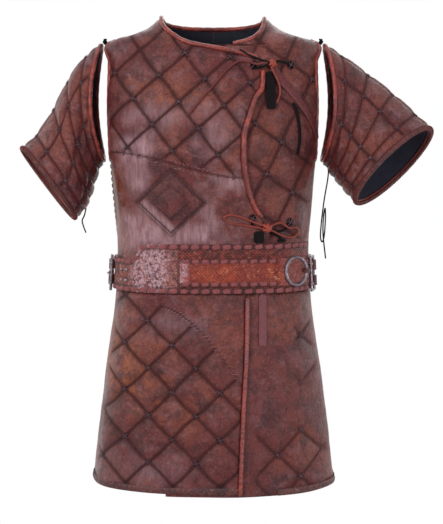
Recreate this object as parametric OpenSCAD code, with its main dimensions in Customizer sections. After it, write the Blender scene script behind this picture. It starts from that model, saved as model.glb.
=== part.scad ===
// Leather armour tunic: a wrap-over body with laced-on short sleeves, a split skirt and a wide laced belt.
// Millimetres. X runs to the wearer's left, the front faces -Y and Z is up.
// The origin is the middle of the neck opening, at the height of the neck-to-shoulder points.

/* [Leather] */
// Thickness of the body and skirt leather
leather_t = 3.5; // [2.5:0.1:4.5]
// Thickness of the sleeve leather
sleeve_t = 3; // [2:0.1:4]
// Thickness of the dark lining
lining_t = 1; // [0.6:0.1:1.6]
// Play between two layers that lie on each other
layer_gap = 0.9; // [0.7:0.05:1.2]
// Radius of the rolled leather piping
piping_r = 4; // [3:0.1:5]
// Squareness of the body's plan, 2 is an ellipse
squareness = 2.4; // [2.1:0.05:2.8]

/* [Body] */
// Half width of the neck opening
neck_half_w = 97; // [85:1:105]
// Drop of the front neckline
neck_front_drop = 55; // [48:1:60]
// Drop of the back neckline
neck_back_drop = 15; // [10:1:22]
// Half width of the body at the shoulder tips
shoulder_half_w = 190; // [182:1:200]
// Drop of the shoulder tips
tip_drop = 44; // [40:1:50]
// Half width of the body just above the armpits
upper_half_w = 205; // [196:1:212]
// Half width of the body at the armpits
chest_half_w = 191; // [180:1:200]
// Front depth of the chest
chest_depth = 132; // [120:1:140]
// Drop of the armpits
armpit_drop = 258; // [245:1:275]
// Half of the front to back width of an armhole
armhole_half_d = 56; // [45:1:62]
// Half width of the waist under the belt
waist_half_w = 178; // [168:1:188]
// Front depth of the waist
waist_depth = 119; // [110:1:128]
// Half width of the hem
hem_half_w = 226; // [210:1:240]
// Front depth of the hem
hem_depth = 150; // [135:1:165]
// Drop of the hem
hem_drop = 868; // [820:1:900]

/* [Belt] */
// Drop of the belt's upper edge, front band
belt_top_drop = 413; // [405:1:425]
// Height of the belt's front band
belt_h = 91; // [80:1:100]
// Height of the band's narrow end at the right hip
belt_end_h = 60; // [50:1:70]
// Thickness of the belt leather
belt_t = 4; // [3:0.1:5]
// Height of the strap on the front of the belt
strap_h = 50; // [40:1:56]
// Thickness of that strap
strap_t = 3; // [2:0.1:4]
// Radius of the ring, middle of the wire
ring_r = 25.5; // [22:0.5:30]
// Radius of the ring's wire
ring_wire_r = 2.8; // [2:0.1:3.4]
// Radius of the hip frames' wire
frame_wire_r = 2.6; // [2:0.1:3.2]
// Height of a hip frame, middle of the wire
frame_h = 62; // [54:1:70]
// Width of a hip frame, middle of the wire
frame_w = 30; // [24:1:36]
// Running clearance of a bar in its leather sleeve
bar_clearance = 0.08; // [0.05:0.01:0.1]

/* [Sleeves] */
// Half of the front to back width of a sleeve's head
sleeve_head_half_d = 68; // [60:1:76]
// Distance from the middle plane to a sleeve's head at its top
sleeve_head_x = 212; // [210:1:220]
// How far a sleeve's head bows out at its front and back
sleeve_bow = 18; // [12:1:24]
// Drop of a sleeve's head at its top
sleeve_top_drop = 50; // [48:1:58]
// Share of a sleeve's length that its curve runs straight at each end
sleeve_pull = 0.36; // [0.25:0.01:0.45]

/* [Small parts] */
// Radius of a lattice knot
knot_r = 3.6; // [2.5:0.1:4.5]
// Height of a lattice knot
knot_h = 2.2; // [1.5:0.1:3]
// Outer radius of a tie eyelet
eyelet_r = 7; // [5:0.1:8]
// Radius of the thin lace under the sleeves
lace_r = 1.3; // [1:0.1:1.8]
// Radius of the neck and waist thongs
thong_r = 2; // [1.5:0.1:2.6]
// Width of the wide neck thong
wide_thong_w = 15; // [10:0.5:18]

/* [Hidden] */

belt_low_drop = belt_top_drop + belt_h;
lap = leather_t + layer_gap;
belt_off = leather_t + layer_gap;
seam_deg = 0.1;
hinge_gap = 0.5;
contact = 0.3;
step_deg = 1;
step_z = 2;
neck_front_power = 2.6;
arm_mid = -(tip_drop + armpit_drop) / 2;
arm_half_h = (armpit_drop - tip_drop) / 2;
top_z = -1.5;

// Height, half width, front depth and back depth of the body's plan.
stations = [
    [-hem_drop, hem_half_w, hem_depth, hem_depth - 4],
    [-(hem_drop + belt_low_drop) / 2, (hem_half_w + waist_half_w) / 2 + 3,
        (hem_depth + waist_depth) / 2 + 3, (hem_depth + waist_depth) / 2 - 1],
    [-belt_low_drop, waist_half_w + 3, waist_depth + 3, waist_depth - 5],
    [-belt_top_drop, waist_half_w, waist_depth, waist_depth - 9],
    [-armpit_drop, chest_half_w, chest_depth, chest_depth - 14],
    [arm_mid, upper_half_w, chest_depth - 8, chest_depth - 14],
    [-tip_drop - 36, (upper_half_w + shoulder_half_w) / 2 + 3, chest_depth - 28, chest_depth - 26],
    [-tip_drop, shoulder_half_w, chest_depth - 42, chest_depth - 38],
    [-tip_drop * 0.64, (shoulder_half_w + neck_half_w) / 2 - 6, chest_depth - 52, chest_depth - 48],
    [0, neck_half_w, chest_depth - 66, chest_depth - 60],
    [30, neck_half_w - 22, chest_depth - 82, chest_depth - 72]];

// Front edge of the lapped panel: height and distance to the wearer's left, from neckline to hem.
over_edge = [[top_z, -neck_half_w + 1], [-14, -neck_half_w + 3], [-30, -neck_half_w + 12],
    [-44, -66], [-54, -44], [-60, -16], [-68, 28], [-76, 62], [-83, 82], [-96, 86], [-114, 86], [-131, 85],
    [-147, 74], [-165, 67], [-184, 61], [-217, 53], [-240, 52], [-270, 53], [-296, 57], [-321, 63], [-346, 72],
    [-364, 84], [-386, 94], [-belt_low_drop, 58], [-589, 57], [-735, 50], [-hem_drop, 45]];
// Inner edge of the panel below it.
under_x = -70;
skirt_under_x = -86;

function unit(v) = v / norm(v);
function mix(a, b, t) = a + (b - a) * t;
function smooth(a, b, v) = let (t = min(1, max(0, (v - a) / (b - a)))) t * t * (3 - 2 * t);
function flat(l) = [for (r = l) for (p = r) p];

// Value of column k of a table at z, on a smooth curve through its rows.
function slope(t, k, i) = let (n = len(t) - 1)
    i == 0 ? (t[1][k] - t[0][k]) / (t[1][0] - t[0][0]) :
    i == n ? (t[n][k] - t[n - 1][k]) / (t[n][0] - t[n - 1][0]) :
    ((t[i + 1][k] - t[i][k]) / (t[i + 1][0] - t[i][0]) + (t[i][k] - t[i - 1][k]) / (t[i][0] - t[i - 1][0])) / 2;
function row_of(t, z) = min(len(t) - 2, max(0, len([for (r = t) if (r[0] <= z) 1]) - 1));
function curve_at(t, k, z) =
    let (i = row_of(t, z), h = t[i + 1][0] - t[i][0], u = (z - t[i][0]) / h,
        a = slope(t, k, i) * h, b = slope(t, k, i + 1) * h)
    t[i][k] * (2 * u * u * u - 3 * u * u + 1) + a * (u * u * u - 2 * u * u + u)
        + t[i + 1][k] * (3 * u * u - 2 * u * u * u) + b * (u * u * u - u * u);
function half_w(z) = curve_at(stations, 1, z);
function depth(z, back = false) = curve_at(stations, back ? 3 : 2, z);

// A point of the body, at f degrees round from the front towards the wearer's left.
function base(f, z) =
    let (n = squareness, k = pow(pow(abs(sin(f)), n) + pow(abs(cos(f)), n), -1 / n))
    [half_w(z) * sin(f) * k, (cos(f) >= 0 ? -depth(z) : -depth(z, true)) * cos(f) * k, z];
function outward(f, z) = unit(cross(base(f + step_deg, z) - base(f - step_deg, z),
    base(f, z + step_z) - base(f, z - step_z)));
function skin(f, z, off) = base(f, z) + off * outward(f, z);

// The angle of a front point at x, and of a point at depth y.
function angle_x(x, z) = let (v = min(0.9999, abs(x) / half_w(z)), n = squareness)
    sign(x) * atan2(v, pow(1 - pow(v, n), 1 / n));
function angle_y(y, z, back = false) = let (v = min(0.9999, y / depth(z, back)), n = squareness)
    atan2(pow(1 - pow(v, n), 1 / n), v);
function neck_x(z, drop) = neck_half_w * pow(max(0, 1 - pow(min(1, -z / drop), neck_front_power)), 1 / neck_front_power);
function arm_y(z) = armhole_half_d * sqrt(max(0, 1 - pow((z - arm_mid) / arm_half_h, 2)));
function side_f(z, back = false) = arm_y(z) > 0 ? angle_y(arm_y(z), z, back) : 90 - seam_deg;
function over_x(z) = lookup(z, over_edge);

// Heights of the rows of the upper panels.
arm_steps = 8;
low_rows = [for (i = [0 : 5]) -belt_low_drop + (belt_low_drop - armpit_drop) * i / 6];
arm_rows = [for (i = [0 : arm_steps]) arm_mid - arm_half_h * cos(180 * i / arm_steps)];
function upper_rows(top) = concat(low_rows, arm_rows, top);
skirt_steps = 5;
function skirt_rows(extra) = [for (i = [0 : skirt_steps])
    mix(-hem_drop - extra, -belt_low_drop - hinge_gap, i / skirt_steps)];

// Closed shell between an outer and an inner grid, rows upwards and columns towards the wearer's left.
module shell(outer, inner, ring = false) {
    m = len(outer) - 1;
    n = len(outer[0]);
    last = ring ? n - 1 : n - 2;
    function at(i, j, k) = k * (m + 1) * n + i * n + j % n;
    function quad(a, b, c, d) = [[a, d, c], [a, c, b]];
    function flipped(q) = [for (f = q) [f[0], f[2], f[1]]];
    faces = concat(
        [for (i = [0 : m - 1], j = [0 : last]) each quad(at(i, j, 0), at(i, j + 1, 0), at(i + 1, j + 1, 0), at(i + 1, j, 0))],
        [for (i = [0 : m - 1], j = [0 : last]) each flipped(quad(at(i, j, 1), at(i, j + 1, 1), at(i + 1, j + 1, 1), at(i + 1, j, 1)))],
        [for (j = [0 : last]) each quad(at(0, j, 1), at(0, j + 1, 1), at(0, j + 1, 0), at(0, j, 0))],
        [for (j = [0 : last]) each quad(at(m, j, 0), at(m, j + 1, 0), at(m, j + 1, 1), at(m, j, 1))],
        ring ? [] : [for (i = [0 : m - 1]) each quad(at(i, 0, 1), at(i, 0, 0), at(i + 1, 0, 0), at(i + 1, 0, 1))],
        ring ? [] : [for (i = [0 : m - 1]) each quad(at(i, n - 1, 0), at(i, n - 1, 1), at(i + 1, n - 1, 1), at(i + 1, n - 1, 0))]);
    polyhedron(points = concat(flat(outer), flat(inner)), faces = faces, convexity = 8);
}

// A panel of the body between two angles that depend on the height.
module panel(rows, lo, hi, cols, off, thick, first = 0, last = -1) {
    function grid(extra) = [for (z = rows) [for (j = [first : last < 0 ? cols : last])
        let (f = mix(lo(z), hi(z), j / cols)) skin(f, z, off(f) + extra)]];
    shell(grid(thick), grid(0));
}

// Tube with its own width and height of section along a path, with the surface normal at each point.
module tube(path, normals, w, h, sides, closed = false) {
    n = len(path);
    function along(i) = closed ? unit(path[(i + 1) % n] - path[(i + n - 1) % n]) :
        unit(path[min(n - 1, i + 1)] - path[max(0, i - 1)]);
    rings = [for (i = [0 : n - 1]) let (t = along(i), u = unit(cross(t, normals[i])), v = cross(u, t))
        [for (j = [0 : sides - 1]) path[i] + u * w * cos(360 * j / sides) + v * h * sin(360 * j / sides)]];
    function at(i, j) = (i % n) * sides + j % sides;
    sides_of = [for (i = [0 : closed ? n - 1 : n - 2], j = [0 : sides - 1])
        each [[at(i, j), at(i, j + 1), at(i + 1, j + 1)], [at(i, j), at(i + 1, j + 1), at(i + 1, j)]]];
    caps = closed ? [] : [[for (j = [sides - 1 : -1 : 0]) j], [for (j = [0 : sides - 1]) at(n - 1, j)]];
    polyhedron(points = flat(rings), faces = concat(sides_of, caps), convexity = 6);
}

// Path beside an edge: out of the edge by a distance, in the surface, and further out at a bend.
function beside(edge, normals, out, closed = false) = [for (i = [0 : len(edge) - 1])
    let (n = len(edge), last = n - 1, p = edge[i],
        a = i == 0 && !closed ? unit(edge[1] - p) : unit(p - edge[(i + last) % n]),
        b = i == last && !closed ? a : unit(edge[(i + 1) % n] - p),
        t = unit(a + b))
    p + unit(cross(t, normals[i])) * out / max(0.7, t * b)];

// Points on a smooth curve through a list, n to a stretch.
function spline(p, n) = let (m = len(p) - 1) concat([for (i = [0 : m - 1], s = [0 : n - 1])
    let (u = s / n, a = p[max(0, i - 1)], b = p[i], c = p[i + 1], d = p[min(m, i + 2)])
    0.5 * (2 * b + (c - a) * u + (2 * a - 5 * b + 4 * c - d) * u * u + (3 * b - a - 3 * c + d) * u * u * u)], [p[m]]);

// Puts small parts on the body: X towards the wearer's left, Y up the surface, Z outwards.
module on_skin(f, z, off) {
    o = skin(f, z, off);
    n = outward(f, z);
    x = unit(base(f + step_deg, z) - base(f - step_deg, z));
    y = cross(n, x);
    multmatrix([[x[0], y[0], n[0], o[0]], [x[1], y[1], n[1], o[1]], [x[2], y[2], n[2], o[2]], [0, 0, 0, 1]])
        children();
}

// Zero offset, and the lift of the lapped panel over the one below it.
plain = function (f) 0;
over_lift = function (f) lap * smooth(-75, -35, f);
belt_lift = function (f) belt_off + lap * smooth(-75, -35, f) * (1 - smooth(38, 62, f));

leather = "saddlebrown";
over_cols = 16;
under_cols = 14;
back_cols = 13;

module front_over_panel() {
    color(leather) panel(over_rows_fine, function (z) -side_f(z), function (z) angle_x(over_x(z), z),
        over_cols, over_lift, leather_t);
}
// The neckline needs closer rows where it runs across.
over_rows_fine = concat(low_rows, [for (z = arm_rows) if (z < -90) z],
    [-83, -76, -68, -60, -54, -tip_drop, -30, -14, top_z]);

under_inner = function (z) z > -neck_front_drop + 1 ? angle_x(neck_x(z, neck_front_drop), z) : angle_x(under_x, z);
under_top = [-neck_front_drop + 2, -48, -tip_drop, -34, -22, -10, top_z];
under_rows = concat(low_rows, [for (z = arm_rows) if (z < -70) z], under_top);
module front_under_panel() {
    color(leather) panel(under_rows, function (z) under_inner(z), function (z) side_f(z), under_cols, plain, leather_t);
}

back_neck = [for (v = [1, 0.973, 0.867, 0.667, 0.4]) -neck_back_drop * v];
back_rows = upper_rows(concat([-30, -neck_back_drop - 3], back_neck, top_z));
back_inner = function (z) z > -neck_back_drop ? angle_x(neck_x(z, neck_back_drop), z) : seam_deg;
module back_panel(side) {
    color(leather) mirror([side < 0 ? 1 : 0, 0, 0])
        panel(back_rows, function (z) 180 - side_f(z, true), function (z) 180 - back_inner(z), back_cols, plain, leather_t);
}

lining_off = function (f) -layer_gap - lining_t;
module lining_front_right() {
    color("dimgray") panel(over_rows_fine, function (z) -side_f(z), function (z) angle_x(over_x(z), z),
        over_cols, lining_off, lining_t, 0, 8);
}
module lining_front_left() {
    color("dimgray") panel(under_rows, under_inner, function (z) side_f(z), under_cols, lining_off, lining_t);
}
module lining_back(side) {
    color("dimgray") mirror([side < 0 ? 1 : 0, 0, 0])
        panel(back_rows, function (z) 180 - side_f(z, true), function (z) 180 - back_inner(z), back_cols, lining_off, lining_t);
}

// Rolled piping beside the edge of a panel, from the row heights and the edge's angle.
piping_out = piping_r + contact;
module edge_piping(rows, angle, off, side) {
    mid = [for (z = rows) skin(angle(z), z, off(angle(z)) + leather_t / 2)];
    n = [for (z = rows) outward(angle(z), z)];
    color("brown") tube(beside(mid, n, side * piping_out), n, piping_r, piping_r, 6);
}
neck_piping_end = -81;
piping_lift = function (f) over_lift(f) + piping_r - leather_t / 2 + 0.4;
module neck_piping_over() {
    edge_piping([for (z = over_rows_fine) if (z >= neck_piping_end) z], function (z) angle_x(over_x(z), z), piping_lift, 1);
}
module neck_piping_under() { edge_piping(under_top, under_inner, plain, -1); }
front_edge_rows = [-364, -355, -346, -334, -321, -308, -296, -283, -270, -255, -240, -228, -217, -200, -184, -174, -165,
    -156, -147, -139, -131, -122, -114, -103];
module front_edge_piping() { edge_piping(front_edge_rows, function (z) angle_x(over_x(z), z), piping_lift, 1); }

// One run from shoulder to shoulder round the back of the neck.
module neck_piping_back() {
    heights = concat(top_z, [for (i = [len(back_neck) - 1 : -1 : 0]) back_neck[i]]);
    half = [for (z = heights) [180 - (z > -neck_back_drop ? angle_x(neck_x(z, neck_back_drop), z) : 0), z]];
    marks = concat(half, [for (i = [len(half) - 2 : -1 : 0]) [360 - half[i][0], half[i][1]]]);
    mid = [for (m = marks) skin(m[0], m[1], leather_t / 2)];
    n = [for (m = marks) outward(m[0], m[1])];
    color("brown") tube(beside(mid, n, -piping_out), n, piping_r, piping_r, 6);
}

// Closed loop of piping inside an armhole, front and back.
arm_marks = [for (i = [1 : arm_steps - 1]) arm_mid - arm_half_h * cos(180 * i / arm_steps)];
module armhole_piping(side) {
    front = [for (z = concat([-armpit_drop], arm_marks)) [side_f(z), z]];
    rear = [for (i = [len(arm_marks) : -1 : 1]) [180 - side_f(arm_marks[i - 1], true), arm_marks[i - 1]]];
    marks = concat(front, [[90, -tip_drop]], rear);
    mid = [for (m = marks) skin(m[0], m[1], leather_t / 2)];
    n = [for (m = marks) outward(m[0], m[1])];
    color("brown") mirror([side < 0 ? 1 : 0, 0, 0]) tube(beside(mid, n, piping_out, true), n, piping_r, piping_r, 6, true);
}

// Places where other small parts lie, so no knot does: distance to the wearer's left, height, radius.
busy = [[76, -91, 14], [140, -90, 14], [104, -92, 18], [103, -118, 20], [103, -152, 22], [122, -114, 18], [140, -134, 18],
    [158, -158, 18], [176, -186, 20], [150, -180, 14], [156, -222, 14], [152, -250, 12], [70, -365, 14], [139, -374, 14],
    [98, -384, 24], [130, -382, 30], [60, -372, 26], [20, -366, 22]];
function is_clear(x, z) = len([for (b = busy) if (norm([x, z] - [b[0], b[1]]) < b[2]) 1]) == 0;

// Lattice of knots where the quilting lines cross.
module knot() {
    cylinder(h = knot_h, r = knot_r, $fn = 32);
    translate([0, 0, knot_h]) sphere(r = knot_r * 0.6, $fn = 32);
}
module front_knots(origin, a, b, count, off, inside) {
    color("black") for (i = [-count : count], j = [-count : count]) {
        p = origin + a * i + b * j;
        if (is_clear(p[0], p[1]) && inside(p[0], p[1])) on_skin(angle_x(p[0], p[1]), p[1], leather_t + contact + off(angle_x(p[0], p[1]))) knot();
    }
}
yoke_left_z = -246;
yoke_right_z = -292;
function yoke_z(x) = mix(yoke_left_z, yoke_right_z, smooth(-185, 60, x));
edge_room = 16;
module over_panel_knots() {
    front_knots([-49, -70], [-46, -40], [35, -47], 6, over_lift, function (x, z)
        z < -40 - 0.25 * abs(x) && z > yoke_z(x) + 12 && x < over_x(z) - edge_room && x > -half_w(z) * 0.93
        && x > -195 + arm_y(z) * 0.3);
}
module under_panel_knots() {
    front_knots([124, -228], [48, -34], [-28, -57], 5, plain, function (x, z)
        z < -62 && z > -belt_top_drop + 16 && x > max(over_x(z), -70) + edge_room && x < half_w(z) * 0.9);
}
back_pitch = [46, 46];
module back_panel_knots() {
    color("black") for (side = [-1, 1], i = [0 : 4], j = [0 : 13]) {
        x = (i + 0.5) * back_pitch[0] * 0.72;
        z = -62 - j * back_pitch[1] * 0.62;
        if ((i + j) % 2 == 0 && z > -belt_top_drop + 14 && x < half_w(z) * (j == 0 ? 0.7 : 0.86))
            on_skin(180 - side * angle_x(x, z), z, leather_t + contact) knot();
    }
}

// Raised stitched patch of two nested diamonds on the chest.
patch_mid = [-74, -336];
patch_half = [62, 60];
patch_t = 1.2;
module chest_patch() {
    function grid(off) = [for (v = [-1 : 0.25 : 1]) [for (u = [-1 : 0.25 : 1])
        let (x = patch_mid[0] + patch_half[0] * (u + v) / 2, z = patch_mid[1] + patch_half[1] * (v - u) / 2,
            f = angle_x(x, z)) skin(f, z, leather_t + over_lift(f) + off)]];
    color("sienna") shell(grid(0.55 + patch_t), grid(0.55));
}

// Short flat laces lying on the leather, as blocks in a row.
module lace_block(l, w, t) { translate([0, 0, t / 2]) cube([l, w, t], center = true); }
module yoke_seam_lacing() {
    color("sienna") for (i = [0 : 15]) {
        x = -172 + i * 14;
        z = yoke_z(x);
        on_skin(angle_x(x, z), z, leather_t + contact + over_lift(angle_x(x, z))) rotate([0, 0, i % 2 == 0 ? 50 : -40])
            lace_block(9, 2.4, 1.4);
    }
}
side_lace_pitch = 12;
module side_lacing() {
    count = floor((belt_top_drop - armpit_drop - 20) / side_lace_pitch);
    color("tan") for (side = [-1, 1], i = [0 : count - 1])
        on_skin(side * 90, -armpit_drop - 16 - i * side_lace_pitch, leather_t + contact)
            rotate([0, 0, i % 2 == 0 ? 35 : -35]) lace_block(13, 2.6, 1.6);
}

// Eyelets that the two ties run through.
eyelets = [[74, -91, true], [140, -90, false], [70, -365, true], [139, -374, false]];
module eyelet() {
    rotate_extrude($fn = 48) translate([eyelet_r - 1.8, 0]) union() {
        square([1.8, 1]);
        translate([0.9, 1]) circle(r = 0.9, $fn = 24);
    }
}
function eyelet_f(e) = angle_x(e[0], e[1]);
module tie_eyelets() {
    color("dimgray") for (e = eyelets)
        on_skin(eyelet_f(e), e[1], leather_t + contact + (e[2] ? over_lift(eyelet_f(e)) : 0)) eyelet();
}

// Ties of leather thong. Their routes are points on the front: distance to the wearer's left, height, lift off the leather.
neck_knot_at = [105, -90];
waist_knot_at = [95, -382];
neck_knot_lift = leather_t + 6.4;
waist_knot_lift = leather_t + lap + 5.7;
neck_thin_route = [[98, -89, 12.5], [89, -90, 13.5], [78, -92, 13.2], [64, -88, 12.6], [47, -86, 10.4], [29, -98, 10.3], [6, -124, 10.3],
    [-13, -145, 10.3], [-31, -166, 10.3], [-44, -181, 10.3]];
neck_wide_route = [[107, -97, 9.5], [120, -116, 8], [136, -132, 6], [153, -152, 5.3], [170, -174, 5.3], [182, -198, 5.3],
    [189, -222, 5.3]];
neck_short_route = [[103, -97, 14], [108, -108, 13], [114, -120, 12], [119, -132, 8], [119, -146, 5.6], [113, -158, 8.5]];
neck_dark_route = [[144, -158, 4.9], [149, -170, 4.9], [154, -192, 4.9], [156, -222, 4.9], [152, -250, 4.9]];
waist_left_route = [[90, -378, 15], [72, -371, 12.8], [50, -362, 11], [30, -358, 10.3], [20, -364, 10.3], [30, -373, 10.3],
    [50, -376, 10.3], [72, -380, 10.8], [90, -384, 14]];
waist_right_route = [[101, -379, 12], [120, -374, 7.2], [136, -384, 6.1], [149, -385, 6.1], [154, -393, 6.1], [144, -402, 5.9],
    [128, -400, 5.9], [101, -386, 12]];
function on_front(p) = skin(angle_x(p[0], p[1]), p[1], p[2]);
function front_normal(p) = outward(angle_x(p[0], p[1]), p[1]);
module thong(route, w, h, per_stretch, sides = 8) {
    points = spline(route, per_stretch);
    tube([for (p = points) on_front(p)], [for (p = points) front_normal(p)], w, h, sides);
}
module tie_knot(at, lift) {
    on_skin(angle_x(at[0], at[1]), at[1], lift) {
        rotate([90, 0, 20]) cylinder(h = 15, r = 6, center = true, $fn = 48);
        rotate([0, 90, 20]) cylinder(h = 13, r = 5, center = true, $fn = 48);
    }
}
module neck_tie_knot() { color("orangered") tie_knot(neck_knot_at, neck_knot_lift); }
module waist_tie_knot() { color("orangered") tie_knot(waist_knot_at, waist_knot_lift); }
module neck_thong_thin() { color("orangered") thong(neck_thin_route, thong_r, thong_r, 1); }
module neck_thong_wide() { color("brown") thong(neck_wide_route, wide_thong_w / 2, 1.4, 2); }
module neck_lace_dark() { color("black") thong(neck_dark_route, 3.4, 1, 1); }
module neck_thong_short() { color("orangered") thong(neck_short_route, thong_r, thong_r, 1); }
module waist_bow_left() { color("orangered") thong(waist_left_route, thong_r, thong_r, 1); }
module waist_bow_right() { color("brown") thong(waist_right_route, thong_r, thong_r, 1); }
neck_tab_x = 103;
neck_tab_half_w = 8;
module neck_tab() {
    color("black") panel([-170, -152, -134, -118, -104], function (z) angle_x(neck_tab_x - neck_tab_half_w, z),
        function (z) angle_x(neck_tab_x + neck_tab_half_w, z), 2, function (f) leather_t + 0.5, 2);
}

// The belt's bands: columns round the body, rows between a lower and an upper edge that depend on the angle.
module band(f0, f1, cols, rows, low, high, off, thick) {
    function grid(extra) = [for (i = [0 : rows]) [for (j = [0 : cols])
        let (f = mix(f0, f1, j / cols), z = mix(low(f), high(f), i / rows)) skin(f, z, off(f) + extra)]];
    shell(grid(thick), grid(0));
}
belt_base = -belt_low_drop + 1;
belt_right_f = -86;
belt_left_f = 70;
back_gap_deg = 2;
function end_share(f) = smooth(-38, -50, f);
module belt_front() {
    color("firebrick") band(belt_right_f, belt_left_f, 32, 3, function (f) belt_base,
        function (f) belt_base + mix(belt_h - 1, belt_end_h, end_share(f)), belt_lift, belt_t);
}
module belt_back() {
    color("firebrick") band(belt_left_f + back_gap_deg, 360 + belt_right_f - back_gap_deg, 34, 2, function (f) belt_base,
        function (f) belt_base + belt_end_h, belt_lift, belt_t);
}
strap_f = [-19, 62];
strap_low = belt_base + 13;
module belt_strap() {
    color("orangered") band(strap_f[0], strap_f[1], 18, 2, function (f) strap_low,
        function (f) strap_low + strap_h, function (f) belt_lift(f) + belt_t + 0.5, strap_t);
}
lace_pitch_deg = 6;
module lace_row(f0, f1, height, off) {
    for (f = [f0 : lace_pitch_deg : f1]) on_skin(f, height(f), off(f)) lace_block(13, 6, 1.5);
}
belt_face = function (f) belt_lift(f) + belt_t + contact;
strap_face = function (f) belt_lift(f) + belt_t + 0.5 + strap_t + contact;
module belt_lacing() {
    color("rosybrown") {
        lace_row(-66, 62, function (f) belt_base + mix(belt_h - 1, belt_end_h, end_share(f)) - 5.5, belt_face);
        lace_row(-66, 62, function (f) belt_base + 5.5, belt_face);
    }
}
module strap_lacing() {
    color("rosybrown") {
        lace_row(-15, 34, function (f) strap_low + strap_h - 5, strap_face);
        lace_row(-15, 34, function (f) strap_low + 5, strap_face);
    }
}

// Hip frames: a wire frame that turns in a folded leather tab. X is towards the belt's front end.
tab_r = 5.4;
tab_t = 2;
tab_l = 22;
tongue_w = 8;
tongue_tilt = 10;
right_hip_f = -84;
left_hip_f = 75;
frame_lift = belt_off + belt_t + tab_r + contact;
frame_z = belt_base + belt_end_h / 2;
module hip(side) {
    if (side > 0) on_skin(left_hip_f, frame_z, frame_lift) mirror([1, 0, 0]) children();
    else on_skin(right_hip_f, frame_z, frame_lift) children();
}
module frame_wire() {
    for (y = [-1, 1]) translate([0, y * frame_h / 2, 0]) {
        rotate([0, 90, 0]) cylinder(h = frame_w, r = frame_wire_r, $fn = 32);
        for (x = [0, frame_w]) translate([x, 0, 0]) sphere(r = frame_wire_r, $fn = 32);
    }
    for (x = [0, frame_w]) translate([x, 0, 0]) rotate([90, 0, 0]) cylinder(h = frame_h, r = frame_wire_r, center = true, $fn = 32);
}
module tab_sleeve(y0, y1) {
    difference() {
        union() {
            translate([0, y1, 0]) rotate([90, 0, 0]) cylinder(h = y1 - y0, r = tab_r, $fn = 48);
            translate([-tab_l, y0, -tab_r]) cube([tab_l, y1 - y0, tab_t]);
        }
        translate([0, y1 + 1, 0]) rotate([90, 0, 0])
            cylinder(h = y1 - y0 + 2, r = frame_wire_r + bar_clearance, $fn = 48);
    }
}
module hip_tab() {
    for (s = [0, 1]) mirror([0, s, 0]) tab_sleeve(tongue_w / 2 + 1, 24);
}
module right_hip_tab() { color("maroon") hip(-1) hip_tab(); }
module left_hip_tab() { color("maroon") hip(1) hip_tab(); }
module right_hip_frame() { color("silver") hip(-1) frame_wire(); }
module left_hip_frame() { color("silver") hip(1) frame_wire(); }
module right_hip_tongue() {
    color("silver") hip(-1) difference() {
        union() {
            rotate([90, 0, 0]) cylinder(h = tongue_w, r = frame_wire_r + 2, center = true, $fn = 48);
            rotate([0, 90 - tongue_tilt, 0]) translate([0, 0, 3]) cylinder(h = frame_w + 3, r = 1.9, $fn = 32);
        }
        rotate([90, 0, 0]) cylinder(h = tongue_w + 2, r = frame_wire_r + bar_clearance, center = true, $fn = 48);
    }
}

// The ring lies on the strap and turns in a small tab at its rear.
ring_f = 49;
ring_z = strap_low + strap_h / 2;
ring_lift = belt_lift(ring_f) + belt_t + 0.5 + strap_t + ring_wire_r + 0.8;
ring_tab_r = ring_wire_r + 3;
ring_tab_l = 9;
ring_tab_tilt = 14;
module on_ring() { on_skin(ring_f, ring_z, ring_lift) children(); }
module belt_ring() {
    color("silver") on_ring() rotate_extrude($fn = 96) translate([ring_r, 0]) circle(r = ring_wire_r, $fn = 32);
}
ring_curve_room = ring_r - sqrt(ring_r * ring_r - ring_tab_l * ring_tab_l / 4);
module ring_tab() {
    color("maroon") on_ring() translate([ring_r, 0, 0]) rotate([90, 0, 0])
        linear_extrude(ring_tab_l, center = true) difference() {
            union() {
                circle(r = ring_tab_r, $fn = 48);
                rotate(-ring_tab_tilt) translate([0, 0.25 - ring_tab_r]) square([14, 2]);
            }
            circle(r = ring_wire_r + ring_curve_room + 0.3, $fn = 48);
        }
}
rivet_r = 3.2;
module rivet() {
    cylinder(h = 1, r = rivet_r, $fn = 32);
    translate([0, 0, 1]) cylinder(h = 1.4, r1 = rivet_r, r2 = rivet_r / 2, $fn = 32);
}
module belt_rivets() {
    color("silver") {
        for (side = [-1, 1], y = [-14, 14]) hip(side) translate([-tab_l + 7, y, tab_t - tab_r + contact]) rivet();
        for (f = [-60, -54], z = [-1, 1]) on_skin(f, frame_z + z * 10, belt_face(f)) rivet();
    }
}

// Sleeves: cubic curves from the head loop to the cuff ring. Cuff middle, its up direction's tilt, radii and forward turn.
cuff = [[[307, -16, -303], 37, [80, 90], 10], [[335, -34, -270], 46, [95, 78], 22]];
head_low_x = sleeve_head_x - 2;
function cuff_of(side) = cuff[side < 0 ? 0 : 1];
function cuff_axis(c) = [cos(c[1]) * cos(c[3]), -sin(c[3]), -sin(c[1]) * cos(c[3])];
function cuff_up(c) = [sin(c[1]), 0, cos(c[1])];
function head_point(a) = [mix(head_low_x, sleeve_head_x, (1 + cos(a)) / 2) + sleeve_bow * sin(a) * sin(a),
    -sleeve_head_half_d * sin(a), mix(-armpit_drop - 6, -sleeve_top_drop, (1 + cos(a)) / 2)];
function cuff_point(c, a) = let (u = cuff_up(c), f = cross(u, cuff_axis(c)))
    c[0] + u * c[2][0] * cos(a) - f * c[2][1] * sin(a);
function head_pull(a) = mix([0.55, 0, -0.83], [0.85, 0, -0.52], (1 + cos(a)) / 2) + [0, -0.2 * sin(a), 0];
function sleeve_mid(c, a, t) = let (p = head_point(a), q = cuff_point(c, a), l = norm(q - p) * sleeve_pull,
        b = p + unit(head_pull(a)) * l, d = q - cuff_axis(c) * l)
    pow(1 - t, 3) * p + 3 * pow(1 - t, 2) * t * b + 3 * (1 - t) * t * t * d + t * t * t * q;
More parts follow.
